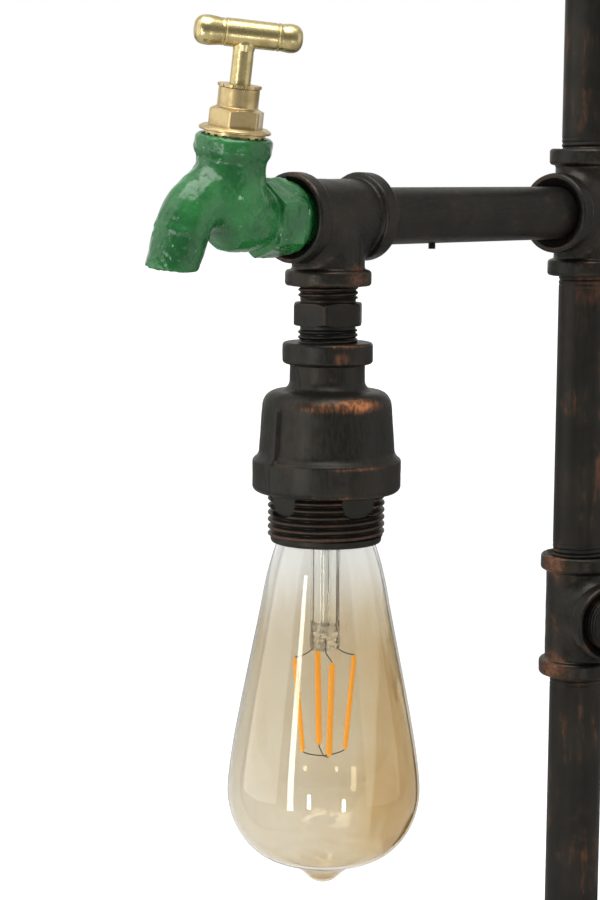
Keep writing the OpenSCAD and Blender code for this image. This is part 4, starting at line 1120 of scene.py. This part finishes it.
def tap_body():
    """Cast tap in its own axes, as one field: a round body, neck, rim, bent spout, waist, inlet hexagon and
    collar flow into each other. The chamber and the spout's mouth are hollowed out, and the mouth is cut
    level. Thick paint lies over it in shallow lumps, and is rougher in places."""
    y, z = np.eye(3)[1:]
    bend_y = -spout_out
    bend_z = spout_up - spout_bend
    sine = math.sin(spout_turn)
    cosine = math.cos(spout_turn)
    end = np.array([0, bend_y - spout_bend * sine, bend_z + spout_bend * cosine])
    tip = end + spout_end * np.array([0, -cosine, -sine])

    def spout(points):
        py = points[..., 1] - bend_y
        pz = points[..., 2] - bend_z
        at = np.arctan2(-py, pz)
        ring = np.hypot(np.hypot(py, pz) - spout_bend, points[..., 0]) - spout_r
        ring = np.maximum(ring, np.maximum(-at - 0.3, at - spout_turn - 0.05) * spout_bend)
        share = np.clip((points - end) @ (tip - end) / spout_end**2, 0, 1)
        straight = rod(points, end, tip, spout_r, 1.2 * mm) + share * (spout_r - spout_mouth_r)
        return melt(ring, straight, 1.5 * mm)

    def inlet(points):
        a = np.abs(points[..., 0])
        b = np.abs(points[..., 2])
        six = np.maximum(a, a / 2 + b * math.sqrt(3) / 2) - tap_hex + tap_hex_round
        hex_l = tap_hex_l - tap_collar_l
        length = np.abs(points[..., 1] - tap_face + tap_collar_l + hex_l / 2) - hex_l / 2 + tap_hex_round
        six = np.maximum(six, np.hypot(a, b) - tap_hex - 1.1 * mm)
        outside = np.hypot(np.maximum(six, 0), np.maximum(length, 0))
        nut = np.minimum(np.maximum(six, length), 0) + outside - tap_hex_round
        collar = rod(points, y * (tap_face - tap_collar_l - mm), y * tap_face, tap_collar_r, 1.8 * mm)
        return melt(nut, collar, 0.8 * mm)

    def field(points):
        globe = np.linalg.norm(points - z * tap_globe_up, axis=-1) - tap_globe_r
        neck = rod(points, z * tap_globe_up, z * (tap_top - mm), tap_neck_r, mm)
        rim = rod(points, z * (tap_top - tap_rim_h), z * tap_top, tap_rim_r, 1.2 * mm)
        waist = rod(points, 0 * y, y * tap_face, tap_waist_r)
        belly = np.linalg.norm(points - y * tap_belly_back - z * tap_belly_up, axis=-1) - tap_belly_r
        solid = melt(melt(globe, neck, 3 * mm), spout(points), 4 * mm)
        solid = melt(solid, melt(belly, waist, 3.5 * mm), 3 * mm)
        solid = melt(solid, rim, 3.5 * mm)
        solid = melt(solid, inlet(points), 1.4 * mm)
        solid = np.minimum(solid, rod(points, y * (tap_face - mm), y * (tap_face + socket), nipple_r))
        solid = -melt(-solid, points[..., 2] + mouth_drop, 1.2 * mm)
        solid = np.maximum(solid, -rod(points, z * chamber_low, z * (tap_top + 5 * mm), chamber_r))
        return np.maximum(solid, -rod(points, end, tip * 2 - end, spout_bore_r))

    lowest = np.array([-14, -36, -18]) * mm
    highest = np.array([14, 43, 28]) * mm
    points, faces, normal = net(field, lowest, highest, cast_step)
    shell = fade(points[:, 1], tap_face, tap_face - mm)
    coarse = fade(lumps(points, 16 * mm, 24), -0.2, 0.7)
    paint = 0.12 * mm * lumps(points, 7 * mm, 21) + (0.25 + coarse) * 0.1 * mm * lumps(points, 2.6 * mm, 22)
    paint += coarse * 0.04 * mm * lumps(points, 1.3 * mm, 23)
    points = points + normal * (paint * shell)[:, None]
    surface = moved((points, faces), tap_foot, tap_axes)
    add_piece("painted_tap", surface, "head", "green_enamel", ["tap_body"])


def tap_bonnet():
    """Bonnet turned from its outline: foot, flange, hexagon with its corners turned off, and barrel."""
    bore = spindle_r + spindle_gap
    foot_r = chamber_r - fit_gap
    base = flange_top + 0.3 * mm
    corners = [
        (bore, bonnet_low, 0), (foot_r, bonnet_low, 0.4 * mm), (foot_r, flange_low, 0.3 * mm),
        (flange_r, flange_low, 0.35 * mm), (flange_r, flange_low + 0.8 * mm, 0.35 * mm),
        (flange_r - 1.2 * mm, base, 0.6 * mm), (bonnet_flats + mm, base, 0.3 * mm),
        (bonnet_flats + mm, bonnet_hex_top, 0.2 * mm), (barrel_r, bonnet_hex_top + 1.1 * mm, 0.8 * mm),
        (barrel_r, barrel_top, 0.4 * mm), (bore, barrel_top, 0), (bore, bonnet_low, 0)]

    def shape(angle, r, z):
        block = (z > base) & (z < bonnet_hex_top + 1.2 * mm) & (r > barrel_r + 0.05 * mm)
        return np.where(block, np.minimum(r, hexagon(angle - bonnet_turn, bonnet_flats)), r)

    surface = moved(lathe(corners, 6, 0.4 * mm, 144, shape), tap_foot, tap_axes)
    add_piece("turned_bonnet", surface, "head", "bonnet_brass", ["tap_bonnet"], crease=35)


def tap_handle():
    """Crossbar turned about its own axis, with a fine groove each side of its middle and swelling round
    ends."""
    near = -bar_middle / 2 - bar_near
    far = bar_middle / 2 + bar_far
    g = bar_groove
    corners = [(0, near, 0), (bar_r - 0.1 * mm, near, 3.2 * mm), (bar_r + 0.3 * mm, near + 4.6 * mm, 8 * mm),
               (bar_r - 0.2 * mm, -bar_middle / 2 - 3 * g, 2 * mm)]
    for side in (-bar_middle / 2, bar_middle / 2):
        corners += [(bar_r - 0.1 * mm, side - 1.2 * g, 0.15 * mm), (bar_r - 1.1 * g, side, 0.15 * mm),
                    (bar_r, side + 1.2 * g, 0.15 * mm)]
    corners += [(bar_r - 0.2 * mm, bar_middle / 2 + 4 * g, 2 * mm),
                (bar_r + 0.15 * mm, far - 4 * mm, 6 * mm), (bar_r - 0.3 * mm, far, 3 * mm), (0, far, 0)]
    along = np.array([-math.sin(bar_turn), math.cos(bar_turn), 0]) @ tap_axes
    place = tap_foot + tap_up * bar_up + along * bar_shift
    surface = moved(lathe(corners, 8, 0.7 * mm, 72), place, axes_along(along, -tap_up))
    add_piece("turned_crossbar", surface, "tap_crossbar", "polished_brass", ["tap_handle"])


def tap_spindle():
    """Spindle turned from its outline: a wider foot below, and a round flare where it meets the crossbar."""
    start = (low("tap_spindle")[2] - tap_foot[2]) / tap_up[2] + 0.8 * mm
    flare_r = spindle_r + 0.4 * mm
    corners = [
        (0, start, 0), (spindle_foot_r, start, 0.3 * mm), (spindle_foot_r, spindle_step, 0.3 * mm),
        (spindle_r, spindle_step, 0), (spindle_r, bar_up - bar_r - 0.8 * mm, 1.5 * mm),
        (flare_r, bar_up - bar_r + mm, 0), (flare_r, bar_up - bar_r / 2, 0), (0, bar_up - bar_r / 2, 0)]
    surface = moved(lathe(corners, 8, 0.6 * mm, 64), tap_foot, tap_axes)
    add_piece("turned_spindle", surface, "tap_crossbar", "polished_brass", ["tap_spindle"])


tap_body()
tap_bonnet()
tap_handle()
tap_spindle()


# Bulb

def glass_outline():
    """Outer outline of the glass from its tip up: tip, flare, round bottom that flattens towards the tip,
    long shoulder and neck."""
    belly_z = cap_rim - glass_belly_drop
    bottom_z = belly_z - glass_bottom_r
    drop = glass_shoulder_z - belly_z
    slope = (glass_belly_r - glass_shoulder_r) / drop
    shoulder = np.array([glass_shoulder_r, glass_shoulder_z])
    belly = np.array([glass_belly_r, belly_z])
    dip = np.radians(np.linspace(90, 35, 14))[:, None]
    tip = np.hstack([glass_tip_r * np.cos(dip), bottom_z - glass_tip_h * np.sin(dip)])
    swing = np.radians(np.linspace(-68, 0, 44))[:, None]
    sink = np.sin(swing) * (1 - glass_bottom_flat * np.sin(swing)**6)
    bowl = np.hstack([glass_belly_r - glass_bottom_r + glass_bottom_r * np.cos(swing),
                      belly_z + glass_bottom_r * sink])
    side = bezier(belly, belly + (0, drop / 5), shoulder + np.array([slope, -1]) * drop / 4, shoulder, 48)
    neck = bezier(shoulder, shoulder + np.array([-slope, 1]) * glass_shoulder_drop / 3,
                  (glass_neck_r + glass_swell, cap_rim - glass_shoulder_drop / 8),
                  (glass_neck_r, cap_rim - glass_t), 32)
    ahead = tip[-1] + 8 * (tip[-1] - tip[-2])
    join = bezier(tip[-1], ahead, bowl[0] - (glass_tip_fillet, mm), bowl[0], 14)
    return np.concatenate([tip, join[1:], bowl[1:], side[1:], neck[1:], [[glass_neck_r, glass_top]]])


def shrunk(outline, by):
    """An outline moved inwards, square to itself."""
    along = unit(np.gradient(outline, axis=0))
    inner = outline + by * np.stack([-along[:, 1], along[:, 0]], -1)
    inner[:, 0] = np.maximum(inner[:, 0], 0)
    inner[0, 0] = 0
    return inner


def bulb_glass():
    """Blown glass: the outer outline up, the same outline shrunk by the wall back down, turned together."""
    outer = glass_outline()
    inner = shrunk(outer, glass_t)[::-1]
    surface = moved(turned(np.concatenate([outer, inner]), 160), lamp_axis)
    add_piece("blown_glass", surface, "bulb", "amber_glass", ["bulb_glass"], crease=60)


def bulb_stem():
    """Stem glass: a flared tube that narrows to the pinch, and the thin tube inside it, both turned; and the
    pinch, a rounded slab whose faces are folded."""
    flare_r = glass_neck_r - glass_t
    pinch_top = pinch_low + pinch_h
    foot = (stem_r, pinch_top - 2 * mm)
    outer = np.concatenate([[foot], bezier((stem_r, cap_rim - 7 * mm), (stem_r, cap_rim),
                                           (stem_r, glass_top - 3.5 * mm), (flare_r, glass_top), 24)])
    wall = shrunk(outer, stem_wall)[::-1]
    wall[0, 1] = glass_top
    wall[-1] = (stem_r - stem_wall, foot[1])
    tube = turned(np.concatenate([outer, wall, outer[:1]]), 64)
    bore = stem_thin_r - stem_wall
    thin = [(bore, pinch_top - mm), (stem_thin_r, pinch_top - mm), (stem_thin_r, glass_top),
            (bore, glass_top), (bore, pinch_top - mm)]
    inside = turned(dense(np.array(thin), 2 * mm), 32)
    slab = np.array([
        (0, pinch_low), (0.86, pinch_low), (0.98, pinch_low + 1.2 * mm), (1.0, pinch_low + 4 * mm),
        (0.94, pinch_top - 2 * mm), (0.8, pinch_top), (0, pinch_top)])
    slab = dense(slab * (pinch_w / 2, 1), 0.4 * mm)
    angle = np.arange(64) * turn / 64
    square = (np.abs(np.cos(angle))**5 + np.abs(np.sin(angle))**5)**-0.2
    share = np.clip(slab[:, :1] / (pinch_w / 2), 0, 1)
    wide = share * square * np.cos(angle) * pinch_w / 2
    thick = share * square * np.sin(angle) * pinch_t / 2
    height = slab[:, 1:] + 0 * angle
    folds = 1 + 0.3 * lumps(np.stack([wide, thick, height], -1), 3.4 * mm, 31)
    broad = np.array([-math.sin(filament_turn), math.cos(filament_turn), 0])
    thick = thick * folds
    pinch = wide[..., None] * broad + thick[..., None] * np.cross(up, broad) + height[..., None] * up
    pinch = (pinch.reshape(-1, 3), grid_faces(len(slab), len(angle)))
    for name, surface, nodes in (("stem_tube", tube, ["bulb_stem"]), ("stem_inner_tube", inside, []),
                                 ("stem_pinch", pinch, [])):
        add_piece(name, moved(surface, lamp_axis), "bulb", "clear_glass", nodes, crease=60)


def spread(index, radius, z):
    """Point of the ring of filaments, in the frame."""
    at = filament_turn + index * turn / filament_count
    return np.array([radius * math.cos(at), lamp[1] + radius * math.sin(at), z])


def wires():
    """Two lead wires run down the stem's sides, leave the corners of the pinch and cross to the outer
    filaments; two short ones hold the others. Below, bent wires meet in the middle and join the filaments'
    lower ends."""
    t = np.linspace(0, 1, 40)
    girth = filament_r * np.sqrt(np.clip(1 - (2 * np.abs(t - 0.5))**24, 0.02, 1))
    hub = np.array([0, lamp[1], filament_low - filament_past - 1.6 * mm])
    for i in range(filament_count):
        head = spread(i, filament_top_r, filament_top)
        foot = spread(i, filament_low_r, filament_low - filament_past)
        side = spread(i + 1, 1.0, lamp[2]) - lamp
        if i % 2:
            inside = stem_r - stem_wall - wire_r
            shelf = spread(i, inside, pinch_low + pinch_h)
            knee = spread(i, pinch_w / 2 - 1.2 * mm, pinch_low + 1.5 * mm)
            lead = np.concatenate([
                np.linspace(spread(i, inside, glass_top), shelf, 12)[:-1],
                bezier(shelf, spread(i, inside, pinch_low + 4 * mm), knee + up * mm, knee, 12)[:-1],
                bezier(knee, knee + down * 1.5 * mm, spread(i, filament_top_r - 3 * mm, filament_top), head,
                       16)])
        else:
            knee = spread(i, pinch_t / 3, pinch_low - 0.6 * mm)
            lead = np.concatenate([
                np.linspace(spread(i, pinch_t / 4, pinch_low + pinch_h / 2), knee, 8)[:-1],
                bezier(knee, knee + down * 0.8 * mm, knee * 0.6 + head * 0.4, head, 16)])
        stick = head + (foot - head) * t[:, None]
        sag = (foot + hub) / 2 + down * 0.5 * mm
        hook = bezier(foot + up * 0.6 * mm, foot + down * 0.4 * mm, sag, hub, 14)
        for name, surface, slot, node in (
                ("lead_wire", swept(lead, wire_r, side), "wire", "lead_wires"),
                ("filament", swept(stick, girth, side, 20, filament_flat), "filament", "filaments"),
                ("hook_wire", swept(hook, wire_r, side), "wire", "filament_hook")):
            add_piece(f"{name}_{i + 1}", surface, "bulb", slot, [node] if i == 0 else [])


bulb_glass()
bulb_stem()
wires()


# CAD nodes take the finish of their slot

for part in frame["record"]["subparts"]:
    for node_slot in frame["nodes"][part["node"]].material_slots:
        node_slot.material = finishes[part["material_slot"]]
frame["nodes"]["arm_tube"].material_slots[0].material = arm_finish


# Studio

# Camera at the photograph's viewing angle, for an image of 600 by 900
view_azimuth = math.radians(43)
view_pitch = math.radians(7.4)
view_roll = math.radians(0.45)
view_distance = 751.6 * mm
view_height = 17.7 * mm
view_aside = 9.2 * mm
focal_in_image_heights = 2200 / 900
floor_half = 6.0
floor_drop = 0.02
ahead = np.array([-math.sin(view_azimuth), math.cos(view_azimuth), 0])
across = np.array([math.cos(view_azimuth), math.sin(view_azimuth), 0])


def stand(place, side, top, back_way):
    """Matrix that puts a camera or a light at a place, looking away from back_way."""
    return Matrix.Translation(place) @ Matrix(np.stack([side, top, back_way], -1).tolist()).to_4x4()


def studio_camera():
    """Camera level with the arm, looking a little down and leaning by its roll."""
    eye = lamp + up * view_height - ahead * view_distance - across * view_aside
    look = ahead * math.cos(view_pitch) - up * math.sin(view_pitch)
    over = ahead * math.sin(view_pitch) + up * math.cos(view_pitch)
    side = across * math.cos(view_roll) + over * math.sin(view_roll)
    top = over * math.cos(view_roll) - across * math.sin(view_roll)
    data = bpy.data.cameras.new("studio_camera")
    data.sensor_width = 36
    data.lens = focal_in_image_heights * data.sensor_width
    data.clip_start = 0.01
    camera = linked("studio_camera", data)
    camera.matrix_world = stand(eye, side, top, -look)
    bpy.context.scene.camera = camera


def studio_floor():
    """Pale floor under the lamp. It takes shadows, and glows a little more with the distance so that it
    reads as white all the way to the backdrop."""
    z = cad_box[0][2] - floor_drop
    corners = [(x * floor_half, y * floor_half, z) for x, y in ((-1, -1), (1, -1), (1, 1), (-1, 1))]
    mesh = bpy.data.meshes.new("studio_floor")
    mesh.from_pydata(corners, [], [(0, 1, 2, 3)])
    f = Finish("studio_floor")
    path = f.node("ShaderNodeLightPath").outputs
    away = f.node("ShaderNodeVectorMath", {0: f.place}, operation="LENGTH").outputs["Value"]
    glow = f.math("MULTIPLY", path["Is Camera Ray"], f.span(away, 0.4, 3.0, 0.5, 0.8))
    glow = f.math("MULTIPLY_ADD", path["Is Transmission Ray"], 0.35, glow)
    mirrored = f.math("SUBTRACT", path["Is Glossy Ray"], path["Is Transmission Ray"])
    ground = f.mix(f.math("MAXIMUM", mirrored, 0.0), (0.8, 0.8, 0.8, 1), (0.58, 0.58, 0.58, 1))
    mesh.materials.append(f.done(Base_Color=ground, Roughness=0.9, Specular_IOR_Level=0.0,
                                 Emission_Color=(1, 1, 1, 1), Emission_Strength=glow))
    linked("studio_floor", mesh)


def studio_world():
    """White backdrop. Metal and glass see it fall off to grey towards the room, and the lamp is lit by an
    even, softer level."""
    world = bpy.data.worlds.new("studio_world")
    w = Nodes(world)
    way = w.node("ShaderNodeTexCoord").outputs["Generated"]
    backdrop = w.span(w.dot(way, ahead), 0.1, 0.85, 0.25, 1.0)
    ceiling = w.span(w.dot(way, up), 0.35, 0.95, 0.25, 0.9)
    room = w.math("MAXIMUM", backdrop, ceiling)
    path = w.node("ShaderNodeLightPath").outputs
    sharp = w.math("MAXIMUM", path["Is Glossy Ray"], path["Is Transmission Ray"])
    level = w.node("ShaderNodeMix", {0: sharp, 2: 0.5, 3: room}).outputs[0]
    level = w.node("ShaderNodeMix", {0: path["Is Camera Ray"], 2: level, 3: 1.0}).outputs[0]
    ground = w.tree.nodes["Background"]
    w.feed(ground.inputs["Color"], (1, 1, 1, 1))
    w.feed(ground.inputs["Strength"], level)
    bpy.context.scene.world = world


def soft_box(name, place, width, height, power, lean=0.0):
    """Rectangular soft light at a place, facing the aim and leaning about that line."""
    data = bpy.data.lights.new(name, "AREA")
    data.shape = "RECTANGLE"
    data.size = width
    data.size_y = height
    data.energy = power
    back_way = place - aim
    back_way /= np.linalg.norm(back_way)
    side = np.cross(up, back_way)
    side /= np.linalg.norm(side)
    light = linked(name, data)
    facing = stand(place, side, np.cross(back_way, side), back_way)
    light.matrix_world = facing @ Matrix.Rotation(lean, 4, "Z")
    light.visible_camera = False


aim = lamp + down * 0.08
studio_camera()
studio_floor()
studio_world()
soft_box("strip_left", aim - across * 0.5 - ahead * 0.6 + down * 0.08, 0.1, 0.56, 1.9, math.radians(3))
soft_box("fill_left", aim - across * 0.85 - ahead * 0.1 + up * 0.1, 0.9, 1.8, 7.0)
soft_box("window_right", aim + across * 0.8 - ahead * 0.2 + up * 0.1, 0.8, 1.1, 2.2)
soft_box("overhead", aim - ahead * 0.25 - across * 0.1 + up * 0.95, 0.9, 0.7, 11.0)
soft_box("low_left", aim - across * 0.2 - ahead * 0.65 + down * 0.2, 0.05, 0.09, 0.35)
soft_box("low_right", aim + across * 0.26 - ahead * 0.62 + down * 0.22, 0.05, 0.09, 0.35)

bpy.context.scene.view_settings.view_transform = "Standard"
